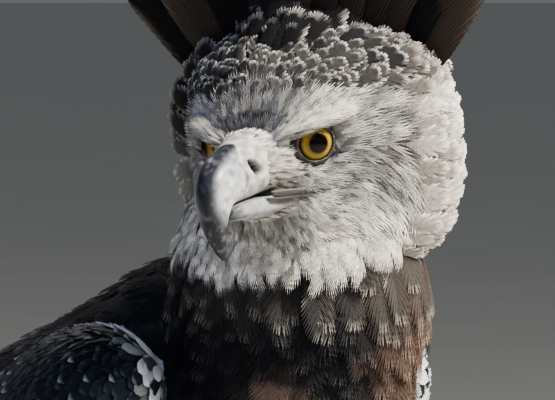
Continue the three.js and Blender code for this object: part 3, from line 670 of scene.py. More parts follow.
# The skin steps back under the ball of each eye, so that the lids stand free.
SOCKET_DEPTH, SOCKET_INNER, SOCKET_OUTER = 1.5, 11.2, 14.5
local = into_head(np.array([v.co for v in skin_mesh.vertices]) / MM)
for side, _ in SIDES:
    middle, aside, upward, out = eye_frame(side)
    across, high, ahead = ((local - middle) @ way for way in (aside, upward, out))
    reach = np.sqrt(across**2 + (high / 0.94) ** 2)
    ball = np.sqrt(np.maximum(EYE_RADIUS**2 - reach**2, 0)) - SOCKET_DEPTH
    share = 1 - ramp(reach, SOCKET_INNER, SOCKET_OUTER)
    deeper = (ahead > 0) & (ahead > ball) & (share > 0)
    local = local + np.outer(np.where(deeper, share * (ball - ahead), 0), out)
moved = out_of_head(local) * MM
skin_mesh.vertices.foreach_set("co", moved.astype(np.float32).ravel())
skin_mesh.update()
skin_mesh.uv_layers.new(name="OFBake")
bpy.context.view_layer.objects.active = skin_piece
skin_piece.select_set(True)
bpy.ops.object.mode_set(mode="EDIT")
bpy.ops.mesh.select_all(action="SELECT")
bpy.ops.uv.smart_project(angle_limit=math.radians(66), island_margin=0.001)
bpy.ops.object.mode_set(mode="OBJECT")
skin_piece.select_set(False)
skin_mesh.materials.append(UNDER)
NODES_OF_FLESH = ["head", "neck", "torso", "tail", "wing_left", "wing_right", "thigh_left", "thigh_right"]
entered(skin_piece, "body_plumage", *NODES_OF_FLESH)

skin_tree = BVHTree.FromPolygons(
    [v.co[:] for v in skin_mesh.vertices], [p.vertices[:] for p in skin_mesh.polygons]
)
skin_uvs = np.empty(len(skin_mesh.loops) * 2, dtype=np.float32)
skin_mesh.uv_layers["OFBake"].data.foreach_get("uv", skin_uvs)
skin_uvs = skin_uvs.reshape(-1, 2)
face_starts = np.array([p.loop_start for p in skin_mesh.polygons])


# The depth of points under the skin, and the place of each on the skin's unwrap.
def on_skin(points):
    depth = np.empty(len(points))
    uv = np.empty((len(points), 2))
    for i, point in enumerate(points * MM):
        near, normal, face, _ = skin_tree.find_nearest(point)
        depth[i] = (near - Vector(point)).dot(normal) / MM
        uv[i] = skin_uvs[face_starts[face]]
    return depth, uv


# A soft pattern in space, about size across, from -1 to 1.
def drift(points, size, seed):
    waves = np.random.default_rng(seed)
    total = np.zeros(len(points))
    for _ in range(6):
        wave = waves.normal(size=3)
        wave *= 2 * math.pi / size / np.linalg.norm(wave)
        total += np.sin(points @ wave + waves.uniform(0, 6.28))
    return total / 3


# Outlines: shares of the length, each with its share of the full width
ROUND = ([0, 0.15, 0.5, 0.8, 0.93, 1], [0.25, 0.7, 1, 0.9, 0.6, 0.15])
LONG = ([0, 0.1, 0.6, 0.85, 0.95, 1], [0.2, 0.7, 1, 0.9, 0.6, 0.1])


# A template of one feather: x is the share of the half width, y the share of the length, and z a
# height in millimetres. All its faces look up.
def template(bm):
    points, faces = arrays_of(bm)
    down = normals_of(points, faces)[:, 2] < 0
    faces[down] = faces[down][:, ::-1]
    return points, faces


# A feather as barbs: ribbons that leave the shaft on both sides and end in a fan on its outline.
# waist is where the vane is widest, aspect its length over its half width, spare the overlap of
# the barbs, and blunt the width left at the end of a barb.
def barbed(barbs, waist=0.5, aspect=3.4, segments=3, spare=1.5, blunt=0.25):
    bm = bmesh.new()
    half = spare * (1 + 0.55 * aspect) / barbs / 2
    for side in (1, -1):
        for k in range(barbs):
            share = k / (barbs - 1)
            turn = math.radians(128 - 122 * share)
            reach = waist if math.cos(turn) < 0 else 1 - waist
            tip = Vector((side * math.sin(turn), waist + reach * math.cos(turn)))
            root = Vector((0, 0.01 + 0.75 * share))
            way = Vector((tip.x - root.x, (tip.y - root.y) * aspect)).normalized()
            beside = Vector((-way.y, way.x / aspect))
            grid = bmesh.ops.create_grid(bm, x_segments=segments, y_segments=1, size=1.0)
            for v in grid["verts"]:
                t = (v.co.x + 1) / 2
                width = half * (1 - (1 - blunt) * t**2.5) * (1 if v.co.y > 0 else -1)
                x = root.x + (tip.x - root.x) * t + beside.x * width
                y = root.y + (tip.y - root.y) * t + beside.y * width - 0.06 * math.sin(math.pi * t)
                v.co = (x, min(1.0, max(0.0, y)), 0.15 * (1 if k % 2 else -1) * t)
    return template(bm)


# A feather as a closed vane with a stiff shaft ridge.
def webbed(outline, columns, rows):
    bm = bmesh.new()
    grid = bmesh.ops.create_grid(bm, x_segments=columns, y_segments=rows, size=1.0)
    for v in grid["verts"]:
        x, y = v.co.x, (v.co.y + 1) / 2
        ragged = 0.02 * math.sin(y * 40 + (9 if x > 0 else 0))
        spread = float(np.interp(y, *outline)) + (ragged if abs(x) > 0.9 else 0)
        v.co = (x * spread, y, 0.5 * (1 - min(1, abs(x) * 4)))
    return template(bm)


# A lock of a few hair-like plumes from one root.
def lock(strands, fan=0.8, width=0.34):
    bm = bmesh.new()
    for k in range(strands):
        lean = fan * (2 * k / (strands - 1) - 1)
        long = 1 - 0.18 * abs(lean)
        grid = bmesh.ops.create_grid(bm, x_segments=1, y_segments=3, size=1.0)
        for v in grid["verts"]:
            t = (v.co.y + 1) / 2
            half = width * (1 - t**1.7) * (0.6 + 0.4 * math.sin(math.pi * min(1, t + 0.2)))
            v.co = (lean * t + v.co.x * half, t * long, 0.2 * (k % 2) * t)
    return template(bm)


rng = np.random.default_rng(67)


# Roots in staggered rows on a surface. pitch is the distance between rows and between the roots
# of a row, in millimetres, or gives both at a distance s.
def rooted(skin, start, end, pitch, angles=(0, 360), jitter=0.3):
    direction = 1 if end > start else -1
    s, row = start, 0
    all_s, all_angles = [], []
    while (end - s) * direction > 0:
        step, beside = pitch(s) if callable(pitch) else pitch
        _, along, around, _ = skin.local(np.full(24, s), np.linspace(*angles, 24))
        per_unit = np.mean(np.linalg.norm(along, axis=1))
        per_degree = max(np.mean(np.linalg.norm(around, axis=1)), 0.02)
        count = max(3, int((angles[1] - angles[0]) * per_degree / beside))
        turn = (np.arange(count) + 0.5 * (row % 2) + rng.uniform(-jitter, jitter, count)) / count
        all_angles.append(angles[0] + (angles[1] - angles[0]) * turn)
        all_s.append(s + rng.uniform(-jitter, jitter, count) * step / per_unit)
        s += direction * step / per_unit
        row += 1
    return np.concatenate(all_s), np.concatenate(all_angles)


# What a coat takes of its feathers: their middle lines, the directions out of them, length,
# width, place on the unwrap of the skin, and lift over it at root and tip.
def feathers(places, outs, long, wide, uv, lift, mirrored=False):
    if mirrored:
        places, outs = mirror(places), mirror(outs)
    return {
        "places": places,
        "outs": outs,
        "long": np.broadcast_to(np.array(long, float), len(places)),
        "wide": np.broadcast_to(np.array(wide, float), len(places)),
        "uv": uv,
        "lift": np.broadcast_to(np.array(lift, float), (len(places), 2)),
    }


# Only the feathers that a test keeps.
def kept(part, keep):
    return {key: value[keep] for key, value in part.items()}


def joined_beds(beds):
    return {key: np.concatenate([part[key] for part in beds]) for key in beds[0]}


# Feathers on a surface, each along it from its root. Roots deeper than sunk are left out.
def bed(skin, s, angle, long, wide, lie, lift, turn=0.0, rows=5, mirrored=False, sunk=7.0, keep=True):
    lift = np.broadcast_to(np.array(lift, float), (len(s), 2))
    long, wide, turn = (np.broadcast_to(np.array(v, float), s.shape) for v in (long, wide, turn))
    root, along, _, _ = skin.local(s, angle)
    depth, uv = on_skin(mirror(root) if mirrored else root)
    shown = (depth < sunk) & keep
    columns = (s, angle, long, wide, turn, lift, uv, along)
    s, angle, long, wide, turn, lift, uv, along = (column[shown] for column in columns)
    per_unit = np.linalg.norm(along, axis=1)
    # A feather may start at the pole of a surface, but doesn't run into one
    margin = 0.012 * (skin.high - skin.low)
    lowest = skin.low + (margin if lie < 0 else margin * 0.05)
    highest = skin.high - (margin if lie > 0 else margin * 0.05)
    places, outs = [], []
    for share in np.linspace(0, 1, rows):
        wanted = s + lie * long * share / per_unit
        held = np.clip(wanted, lowest, highest)
        point, step, _, out = skin.local(held, angle + turn * share)
        places.append(point + unit(step) * ((wanted - held) * per_unit)[:, None])
        outs.append(out)
    return feathers(np.stack(places, axis=1), np.stack(outs, axis=1), long, wide, uv, lift, mirrored)


# Feathers that all point the way of a flow over a closed surface, with no whorl at its pole.
def flowing_bed(skin, s, angle, long, wide, flow, lift, rows, mirrored, sunk):
    points, faces, _, _ = laid_ball(skin, 96, 96)
    shell = BVHTree.FromPolygons([tuple(p) for p in points], [tuple(face) for face in faces])
    root, _, _, out = skin.local(s, angle)
    depth, uv = on_skin(mirror(root) if mirrored else root)
    place, out, flow, long, wide, uv = (v[depth < sunk] for v in (root, out, flow, long, wide, uv))
    places, outs = [], []
    for _ in range(rows):
        places.append(place)
        outs.append(out)
        way = unit(flow - np.sum(flow * out, axis=1)[:, None] * out)
        hits = [shell.find_nearest(tuple(p)) for p in place + way * (long / (rows - 1))[:, None]]
        place, out = (np.array([hit[i][:] for hit in hits]) for i in (0, 1))
    return feathers(np.stack(places, axis=1), np.stack(outs, axis=1), long, wide, uv, lift, mirrored)


# Feathers from their own middle lines.
def flat_bed(axis, outward, long, wide):
    places = np.array(axis) + SHIFT
    _, uv = on_skin(places[:, 0])
    outs = np.broadcast_to(np.array(outward, float), places.shape)
    return feathers(places, outs, long, wide, uv, 0.0)


all_roots, all_tones = [], []
PATCH = 0.003  # of the unwrap that one feather takes


# The feathers of a bed as one piece. paint gives the colours of the middle and of the rim of
# each, and marks may lay a tone over some of the vane. rim is where the rim starts and is full,
# camber and curl bend the vane, vary and streaked change the tone by feather and of a share of
# the feathers. barb_shading lightens the raised barbs and darkens the sunk ones towards the tip,
# as painted light and shade, and root_shade darkens each feather towards its root, as painted
# shade under the feathers over it.
def coat(name, part, vane, material, slot, paint, rim=(0.7, 1.0), loose=1.0, camber=0.12,
         marks=None, curl=0.0, root_shade=0.55, vary=0.14, barb_shading=0.0, streaked=0.0):
    shape, faces = vane
    places, outs, long = part["places"], part["outs"], part["long"][:, None]
    count, rows = places.shape[:2]
    x, y, z = shape.T
    row = np.clip((y * (rows - 1)).astype(int), 0, rows - 2)
    share = (y * (rows - 1) - row)[None, :, None]
    along = np.diff(places, axis=1)
    along = unit(np.concatenate([along, along[:, -1:]], axis=1))
    aside = unit(np.cross(along, outs))
    outs = np.cross(aside, along)

    def read(values):
        return values[:, row] * (1 - share) + values[:, row + 1] * share

    lift = part["lift"] + rng.uniform(-0.4, 0.4, (count, 1)) * loose
    tilt = rng.normal(0, 0.1, (count, 1)) * loose
    sway = rng.normal(0, 0.06, (count, 1)) * loose * long
    half = (part["wide"] * rng.uniform(0.85, 1.15, count) / 2)[:, None]
    across = x * half
    rise = lift[:, :1] + (lift[:, 1:] - lift[:, :1]) * y**1.3 + z + tilt * across * y
    rise = rise + curl * long * y**3 - camber * across**2 / half * 2
    points = read(places) + read(aside) * (across + sway * y**2)[..., None] + read(outs) * rise[..., None]
    middle, border = paint(places[:, 0])
    outline = np.maximum(np.abs(x), y**2)
    blend = np.clip((outline - rim[0]) / (rim[1] - rim[0]), 0, 1)[None, :, None]
    colour = middle[:, None] * (1 - blend) + border[:, None] * blend
    if marks:
        code, band = marks(x, y)
        band = np.atleast_2d(band)[..., None]
        colour = colour * (1 - band) + linear(code) * band
    # Painted light and shade: raised barbs lighter, sunk barbs darker towards the tip
    colour = colour * (1 + barb_shading * np.sign(z) * y)[None, :, None]
    colour = colour * rng.uniform(1 - vary, 1 + vary, (count, 1, 1))
    dark = (rng.random(count) < streaked)[:, None, None]
    colour = np.where(dark, colour * 0.4, colour)
    # Painted shade: each feather darker towards its root, under the feathers that lie over it
    colour = colour * (root_shade + (1 - root_shade) * np.clip(y * 1.6, 0, 1))[None, :, None]
    uv = part["uv"][:, None] + np.stack([x * 0.35, y - 0.5], axis=1) * PATCH
    on_vane = np.broadcast_to(np.stack([x * 0.5 + 0.5, y], axis=1), (count, len(x), 2))
    all_faces = (faces + len(x) * np.arange(count)[:, None, None]).reshape(-1, 3)
    all_roots.append(places[:, 0])
    all_tones.append(middle)
    piece_from(name, points.reshape(-1, 3), all_faces, material, colour.reshape(-1, 3), slot,
               uvs={"OFBake": uv.reshape(-1, 2), "Vane": on_vane.reshape(-1, 2)})


# Colours of a set of roots, between two tones by a share.
def tones(first, second, share):
    share = np.clip(share, 0, 1)[:, None]
    return linear(first) * (1 - share) + linear(second) * share


# The same, by a soft pattern about size across.
def mottled(points, first, second, size, seed, strength=0.5, middle=0.5):
    return tones(first, second, middle + strength * drift(points, size, seed))


# Tones laid over a base, each by its share.
def layered(base, *layers):
    for code, share in layers:
        share = np.clip(share, 0, 1)[:, None]
        base = base * (1 - share) + linear(code) * share
    return base


# Paint of one mottled colour. The rim is another, or the same and brighter by a share.
def plain(middle, rim):
    def paint(points):
        base = mottled(points, *middle)
        return base, mottled(points, *rim) if isinstance(rim, tuple) else base * rim

    return paint


# The direction that an azimuth and an elevation look from.
def looking_from(azimuth, elevation):
    turn, rise = math.radians(azimuth), math.radians(elevation)
    return np.array([math.sin(turn) * math.cos(rise), -math.cos(turn) * math.cos(rise), math.sin(rise)])


# Camera at the photo's angle, and its framing: the eyes lie left of and over the middle
CAMERA_AZIMUTH, CAMERA_ELEVATION, CAMERA_AWAY = 318, 3, 2800
EYES_LEFT, EYES_OVER = 7.6, 26.3
back = looking_from(CAMERA_AZIMUTH, CAMERA_ELEVATION)
right = np.array([math.cos(math.radians(CAMERA_AZIMUTH)), math.sin(math.radians(CAMERA_AZIMUTH)), 0.0])
top = np.cross(back, right)
target = head_middle + SHIFT + right * EYES_LEFT - top * EYES_OVER
camera = placed("camera", bpy.data.cameras.new("camera"))
camera.data.sensor_width = 36
camera.data.lens = 372
camera.data.clip_end = 50
camera.location = Vector((target + back * CAMERA_AWAY) * MM)
camera.rotation_euler = Vector(back).to_track_quat("Z", "Y").to_euler()
scene.camera = camera

# Soft studio light: a warm key from the upper right, a cool fill from the left, a weak one from
# the front, a small one for the shine on the eye, and a rim from behind. Each has azimuth,
# elevation, distance and size in metres, power and colour.
LAMPS = {
    "key": (30, 46, 2.4, 0.4, 400, "#FFF3E2"),
    "fill": (285, 45, 2.6, 1.6, 24, "#A9C8FF"),
    "front": (325, 28, 2.8, 1.5, 12, "#C4D9FF"),
    "catch": (52, 30, 2.4, 0.12, 9, "#FFF8EE"),
    "rim": (150, 40, 2.6, 1.2, 30, "#FFF6E8"),
}
for name, (azimuth, elevation, away, size, watts, code) in LAMPS.items():
    way = Vector(looking_from(azimuth, elevation))
    light = placed(name, bpy.data.lights.new(name, "AREA"))
    light.data.size = size
    light.data.energy = watts
    light.data.color = linear(code)
    light.location = Vector(target * MM) + way * away
    light.rotation_euler = way.to_track_quat("Z", "Y").to_euler()
world = bpy.data.worlds.new("studio")
world.use_nodes = True
world.node_tree.nodes["Background"].inputs["Color"].default_value = (*linear("#DDE2E6"), 1)
world.node_tree.nodes["Background"].inputs["Strength"].default_value = 0.19
scene.world = world


# Head colours by the place in the head's own frame: f ahead, l to the left and h up
def paint_face(points):
    f, l, h = head_places(points)
    brow = np.exp(-(((f + 8) / 16) ** 2 + ((np.abs(l) - 31) / 10) ** 2 + ((h - 17) / 6) ** 2))
    stripe = ramp(-f, -4, 25) * ramp(h, -34, -14) * (1 - ramp(h, 0, 16))
    forehead = np.exp(-((l / 30) ** 2)) * ramp(h, 5, 19)
    patches = ramp(drift(points, 14, 36), 0.1, 0.6) * ramp(-f, 10, 30) * ramp(h, -18, 6)
    base = layered(
        mottled(points, "#77787A", "#B4B2AE", 12, 1),
        ("#F3F0E9", brow * 1.2),
        ("#4C4A48", stripe * (0.4 + 0.5 * drift(points, 9, 2))),
        ("#55524F", ramp(h, 16, 32) * (0.55 + 0.35 * drift(points, 9, 3))),
        ("#3A3E44", forehead * (0.72 + 0.5 * drift(points, 5, 35))),
        ("#5B5A5A", patches * 0.7),
        ("#DAD6CE", ramp(-h, 26, 50) * (1 - ramp(f, -5, 15)) * 0.8),
        ("#D6D0C6", ramp(-f, 34, 60) * 0.6),
    )
    return base, base * 1.3


def paint_lores(points):
    _, _, h = head_places(points)
    speck = ramp(drift(points, 3.2, 32), 0.0, 0.5) * (0.35 + 0.55 * ramp(-h, -12, 18))
    base = layered(mottled(points, "#C9C5BE", "#EAE6DE", 5, 31), ("#3F3A37", speck))
    return base, base * 0.75


# The brow of the far side lies in shade
def paint_brow(points):
    _, l, _ = head_places(points)
    base = layered(
        mottled(points, "#B9B6B0", "#EFEBE3", 7, 33),
        ("#77797D", 0.75 * ramp(-l, 8, 20)),
        ("#55514E", ramp(drift(points, 5, 34), 0.25, 0.7) * 0.6),
    )
    return base, base * 1.1


def paint_crown(points):
    f, _, _ = head_places(points)
    dark = mottled(points, "#17181B", "#3A3938", 16, 4, 0.6)
    dark = layered(dark, ("#7E7C79", 0.8 - 0.8 * ramp(-f, -12, 6)))
    return dark, mottled(points, "#7F8082", "#CFCCC6", 14, 5, 0.6)


def paint_ruff(points):
    f, l, h = head_places(points)
    high, far, behind = ramp(h, 3, 21), ramp(-l, 10, 50), ramp(-f, 92, 120)
    far_top = far * ramp(h, -22, 4)
    base = layered(
        mottled(points, "#6F6B66", "#B7B2AA", 18, 6, 0.6),
        ("#1B1A1B", high * 0.92),
        # Painted shade: the far side of the head darker
        ("#4B4946", far * 0.7),
        ("#1B1A1A", far_top),
        ("#57534F", behind * 0.7),
    )
    rim = layered(
        mottled(points, "#D3CFC8", "#F4F1EB", 20, 61),
        ("#6F6A66", high * 0.85),
        # Painted shade: the far side's rims darker
        ("#8F8C88", far * 0.75),
        ("#8A867F", far_top),
        ("#A59F97", behind * 0.6),
    )
    return base, rim


def paint_neck(points):
    p, seen = points - SHIFT, points - target
    across, high = seen @ right, seen @ top
    # Brown and buff towards the left front, where the black band thins out
    tan = ramp(p[:, 0] * 0.743 - p[:, 1] * 0.669, 96, 150) * ramp(p[:, 2], 490, 545)
    # Under the edge of the head the feathers are greyer
    grey = ramp(high, -40, -22) * (0.7 + 0.4 * drift(points, 10, 82))
    # A small buff tuft on the front
    tuft = np.exp(-(((across - 6) / 8) ** 2 + ((high + 80) / 12) ** 2)) * (seen @ back > -60)
    base = layered(
        mottled(points, "#08090C", "#131418", 30, 8),
        ("#57463C", tan * (0.7 + 0.3 * drift(points, 25, 81))),
        ("#33312F", grey),
        ("#8C7668", tuft * 0.8),
    )
    rim = mottled(points, "#121418", "#3A3C3F", 18, 9, 0.6)
    return base, layered(rim, ("#8F7C6F", tan * 0.85), ("#8D8A84", grey), ("#E6DACE", tuft))


def paint_trunk(points):
    ahead, up = -(points - SHIFT)[:, 1], points[:, 2]
    under = 1 - ramp(up - 0.45 * (ahead - 60), 372, 410)
    base = layered(mottled(points, "#0D0E12", "#1A1B20", 40, 10), ("#E2DED5", under))
    return base, layered(mottled(points, "#2B2D32", "#5C5E61", 30, 11), ("#F2EFE8", under))


paint_throat = plain(("#A5A29D", "#DEDAD3", 10, 7, 0.6), 0.8)
paint_wing = plain(("#07090D", "#121820", 30, 12), ("#161D26", "#364250", 12, 13, 0.7))
paint_thigh = plain(("#D9D5CC", "#EDEAE2", 30, 14), 1.05)
paint_tail = plain(("#55524F", "#6B6763", 30, 15), 1.2)
paint_crest = plain(("#0C0C0E", "#453A30", 25, 16, 0.7, 0.35), ("#26221F", "#776A5D", 14, 17))
paint_crest_foot = plain(("#0B0C0F", "#1E1D1E", 20, 18), ("#5D5E60", "#A9A7A3", 12, 19))


# The small coverts have a few white tips, and a bluish white band along the front edge.
def paint_lesser(points):
    base, rim = paint_wing(points)
    p = points - SHIFT - at(*WRIST)
    mirrored = points[:, 0] < 0
    p[mirrored, 0] += 2 * WRIST[1]
    inward = np.where(mirrored, p[:, 0], -p[:, 0])
    edge = ramp(inward, 6, 16) * (1 - ramp(p @ wing_along + 0.6 * (p @ wing_up), -8, 22))
    edge = np.maximum(edge, ~mirrored * 0.8 * ramp(-p @ wing_along, 17, 30))
    spots = ramp(drift(points, 7, 131), -0.3, 0.1)
    return layered(base, ("#E6F0F8", edge * spots)), layered(rim, ("#F4F9FD", edge))


def paint_tail_coverts(points):
    under = ramp(-(points - SHIFT - at(*TAIL_ROOT)) @ tail_up, -4, 4)
    base = tones("#2A2A2E", "#DDD9D0", under)
    return base, base * 1.4


EYE_OPENING = (12.0, 10.8)  # half width and half height


# Whether a feather leaves the opening of the lids clear along its whole length
def clear_of_eyes(places):
    clear = np.ones(len(places), dtype=bool)
    for side, _ in SIDES:
        middle, aside, upward, out = eye_frame(side)
        local = into_head(places.reshape(-1, 3)) - middle
        reach = (local @ aside / EYE_OPENING[0]) ** 2 + (local @ upward / EYE_OPENING[1]) ** 2
        near = (reach < 1) & (local @ out > 0)
        clear &= ~near.reshape(places.shape[:2]).any(axis=1)
    return clear


# Face: small plumes that stream back from the bill, shortest round it
s, a = rooted(HEAD, 11, -72, lambda s: (2.6 + 0.03 * (11 - s), 1.9 + 0.015 * (11 - s)))
long = 6.5 + 0.13 * (11 - s)
# On the cheeks they also sink towards the throat
fall = np.where(np.abs(a - 90) < 90, 0.0, 1.0) * np.sign(np.cos(np.radians(a)))
fall = -14 * fall * ramp(-np.sin(np.radians(a)), -0.3, 0.3) * ramp(-s, 0, 40)
face = bed(HEAD, s, a, long, 0.32 * long + 0.8, -1, (0.2, 2.6), turn=fall, rows=3)
f, l, h = head_places(face["places"][:, 0])
inside_bill = (f > 6) & (np.abs(l) < 17) & (h < 9) & (h > -33)
on_crown = (h > 23) & (f < -9)
behind_cheek = (f < -52) & (h > -42)
face = kept(face, clear_of_eyes(face["places"]) & ~inside_bill & ~on_crown & ~behind_cheek)
coat("face_plumes", face, lock(3), DOWN, "head_plumage", paint_face, camber=0.0, vary=0.48,
     streaked=0.22)

# Lores, forehead and chin: short bristly plumes over the base of the bill
s, a = rooted(UPPER_BILL, 26, 5, (1.9, 1.6), jitter=0.45)
high = np.sin(np.radians(a))
reach = 19 + 6 * (1 - high**2) - 2 * (high < -0.5)
keep = (s < reach + rng.uniform(-1, 1, len(s))) & (high > -0.72)
parts = [bed(UPPER_BILL, s, a, 7.0, 2.2, -1, (0.1, 1.8), rows=3, keep=keep)]
s, a = rooted(LOWER_BILL, 22, 3, (2.0, 1.7), jitter=0.45)
low = -np.sin(np.radians(a))
keep = (low > 0.35) & (s < 14 + 7 * low)
parts.append(bed(LOWER_BILL, s, a, 8.0, 2.2, -1, (0.1, 1.8), rows=3, keep=keep))
for lore in LORES:
    s, a = rooted(lore, 0.5, 2.8, (1.8, 1.6), jitter=0.45)
    parts.append(bed(lore, s, a, 6.5, 2.0, 1, (0.0, 1.8), rows=3, sunk=3))
lores = joined_beds(parts)
lores = kept(lores, clear_of_eyes(lores["places"]))
coat("lore_plumes", lores, lock(3), DOWN, "head_plumage", paint_lores, camber=0.0, vary=0.35,
     streaked=0.15)

# Brows: white plumes over the ridges, longest at the outer end
parts = []
for brow in BROWS:
    s, a = rooted(brow, 0.25, 3.7, (2.0, 1.9), jitter=0.4)
    long = 7 + 1.6 * s
    parts.append(bed(brow, s, a, long, 0.3 * long, 1, (0.1, 2.2), rows=3, sunk=3))
coat("brow_plumes", joined_beds(parts), lock(3), DOWN, "head_plumage", paint_brow, camber=0.0,
     vary=0.25, streaked=0.12)

# Crown: rounded scallops with pale rims
s, a = rooted(HEAD, 0, -100, lambda s: (4.8 - 0.024 * s, 5.6 - 0.03 * s), (14, 166), 0.45)
grade = ramp(-s, 0, 60)
lift = np.stack([0.5 + 0 * s, 3 + 2.5 * grade], axis=1)
crown = bed(HEAD, s, a, 13 + 9 * grade, 9 + 5.5 * grade, -1, lift, rows=4)
_, _, h = head_places(crown["places"][:, 0])
crown = kept(crown, (h > 20) & clear_of_eyes(crown["places"]))
coat("crown_feathers", crown, barbed(8, 0.6, 2.9), CONTOUR, "head_plumage", paint_crown,
     rim=(0.8, 0.97), barb_shading=0.15, loose=1.8, vary=0.25)

# Ruff: broad loose feathers round the back of the face and over the nape
s, a = rooted(HEAD, -40, -130, (6.5, 6.5), angles=(-90, 270), jitter=0.35)
# It stands out less on the bird's left, where it is pressed back
proud = 11.0 - 8 * ramp(-s, 44, 84) - 4.5 * ramp(-np.cos(np.radians(a)), -0.2, 0.6)
ruff = bed(HEAD, s, a, 24.0, 12.5, -1, np.stack([0.4 + 0 * s, proud], axis=1))
f, _, h = head_places(ruff["places"][:, 0])
ruff = kept(ruff, ~((h > 34) & (f > -95)))
coat("ruff_feathers", ruff, barbed(10), CONTOUR, "head_plumage", paint_ruff, rim=(0.68, 0.95),
     barb_shading=0.16, loose=1.8, root_shade=0.4, vary=0.2)

# Throat: pale plumes, which end lowest under the chin
CHIN_TURN, NECK_AHEAD, THROAT_BORDER, THROAT_DROP = 90 + HEAD_YAW, 112, 596, 19
s, a = rooted(NECK, 4.55, 3.3, (3.5, 2.8))
throat = bed(NECK, s, a, 15 + rng.uniform(-5, 4, len(s)), 8.0, -1, (3.0, 8.0), rows=4)
roots = throat["places"][:, 0] - SHIFT
bearing = np.degrees(np.arctan2(-roots[:, 1] - NECK_AHEAD, roots[:, 0]))
border = THROAT_BORDER + THROAT_DROP * (1 - np.cos(np.radians(bearing - CHIN_TURN)))
throat = kept(throat, roots[:, 2] > border + 3 * drift(roots, 12, 71))
coat("throat_plumes", throat, lock(7, 0.85, 0.15), DOWN, "head_plumage", paint_throat,
     rim=(0.5, 1.0), vary=0.3, streaked=0.06, loose=2.2, curl=-0.3)

# Neck: black feathers with frayed pale edges
s, a = rooted(NECK, 4.3, 0.4, (9, 9), jitter=0.45)
neck = bed(NECK, s, a, 36.0, 25.0, -1, (-4.0, 3.0))
coat("neck_feathers", neck, barbed(20, 0.55, 3.0, spare=1.3, blunt=0.1), CONTOUR, "body_plumage",
     paint_neck, rim=(0.93, 1.0), loose=2.2, barb_shading=0.15)

# Trunk: black over the breast and back, white below
s, a = rooted(TRUNK, 0.35, 6.6, (17, 15))
trunk = bed(TRUNK, s, a, 50.0, 28.0, 1, (-4.0, 3.0))
coat("body_feathers", trunk, barbed(9), CONTOUR, "body_plumage", paint_trunk, rim=(0.9, 1.0),
     barb_shading=0.1, loose=0.6)

# Wings: tiers of quills and coverts on both sides. Each has its count, where it starts, where its
# lowest and highest feathers end, the shares of the surface's height between which they lie,
# their width, and their lift at root and tip.
WING_TIERS = {
    "primaries": (10, 225, (500, 425), (-0.86, 0.35), 30, (-10, 0)),
    "secondaries": (14, 150, (378, 322), (-0.6, 0.95), 34, (-4, 1)),
    "greater_coverts": (12, 86, (236, 206), (-0.86, 0.92), 32, (-4, 1)),
    "median_coverts": (12, 36, (152, 132), (-0.9, 0.92), 28, (-4, 1)),
}
for name, (count, root, ends, (low, high), width, lift) in WING_TIERS.items():
    share = np.linspace(0, 1, count)
    angle = np.degrees(np.arcsin(low + (high - low) * share))
    long = ends[0] + (ends[1] - ends[0]) * share - root
    start = np.full(count, float(root))
    parts = [bed(WING, start, angle, long, width, 1, lift, rows=9, mirrored=mirrored, sunk=99)
             for mirrored in (False, True)]
    vane, marks = barbed(22, 0.6, 8.0), None
    if not name.endswith("coverts"):
        # Dark bars across the quills
        vane, marks = webbed(LONG, 8, 14), lambda x, y: ("#0E0F12", 0.7 * (np.sin(y * 30) > 0.25))
    coat(name, joined_beds(parts), vane, FLIGHT, "wing_plumage", paint_wing, rim=(0.85, 1.0),
         loose=0.3, camber=0.06, marks=marks)
WING_START = -39
parts = []
for mirrored in (False, True):
    s, a = rooted(WING, WING_START + 0.1, 96, lambda s: (5.6 + 0.035 * (s - WING_START), 6))
    long = 17 + 0.12 * (s - WING_START)
    # Round the bend they all run from the front edge outwards and back
    flow = wing_along + np.outer(1.1 * (1 - ramp(s, -25, 60)), at(0, 1, -0.15))
    parts.append(flowing_bed(WING, s, a, long, long * 0.52, flow, (-1.5, 1.0), 5, mirrored, 9))
lesser = joined_beds(parts)
count = len(lesser["long"])
pale = ((rng.random(count) < 0.16) * rng.uniform(0.3, 1.0, count))[:, None]
coat("lesser_coverts", lesser, webbed(ROUND, 6, 7), FLIGHT, "wing_plumage", paint_lesser,
     rim=(0.85, 1.0), loose=0.45, camber=0.06,
     marks=lambda x, y: ("#B7C4D0", ramp(y, 0.88, 0.95) * pale))


# Thighs: white with fine dark bars
def thigh_bars(x, y):
    bowed = y + 0.08 * np.abs(x)
    return "#2A2828", 0.85 * ((np.abs(bowed - 0.72) < 0.06) | (np.abs(bowed - 0.4) < 0.05))


parts = []
for mirrored in (False, True):
    s, a = rooted(THIGH, 0.5, 5.5, (12, 11))
    parts.append(bed(THIGH, s, a, 36.0, 18.0, 1, (-4, 3), mirrored=mirrored))
coat("thigh_feathers", joined_beds(parts), barbed(10, segments=4), CONTOUR, "thigh_plumage",
     paint_thigh, rim=(0.8, 1.0), marks=thigh_bars)

# Tail: six pairs of feathers with broad grey bars, and coverts over and under their roots
TAIL_PAIRS, TAIL_STEP, TAIL_LEVEL, TAIL_START = 6, 8.6, 1.7, 20
axis = []
for pair in range(TAIL_PAIRS):
    for side in (1, -1):
        long = TAIL_LENGTH - 2.2 * pair**2 - TAIL_START
        split = 1 if pair < 2 and side < 0 else 0
        level = 4.5 - TAIL_LEVEL * (pair + min(pair, 2) + split)
        line = []
        for share in np.linspace(0, 1, 9):
            left = side * (TAIL_STEP * pair + 3) * (0.45 + 0.55 * share)
            line.append(on_tail(TAIL_START + long * share, left, level - left**2 / 900))
        axis.append(line)
tail = flat_bed(axis, tail_up, float(TAIL_LENGTH - TAIL_START), 40.0)
coat("tail_quills", tail, webbed(LONG, 10, 60), FLIGHT, "tail_plumage", paint_tail,
     rim=(0.9, 1.0), loose=0.15, camber=0.03,
     marks=lambda x, y: ("#121214", 0.93 * ((np.cos(y * 7.2 * math.pi + 0.6) > -0.15) & (y < 0.97))))
axis, outward = [], []
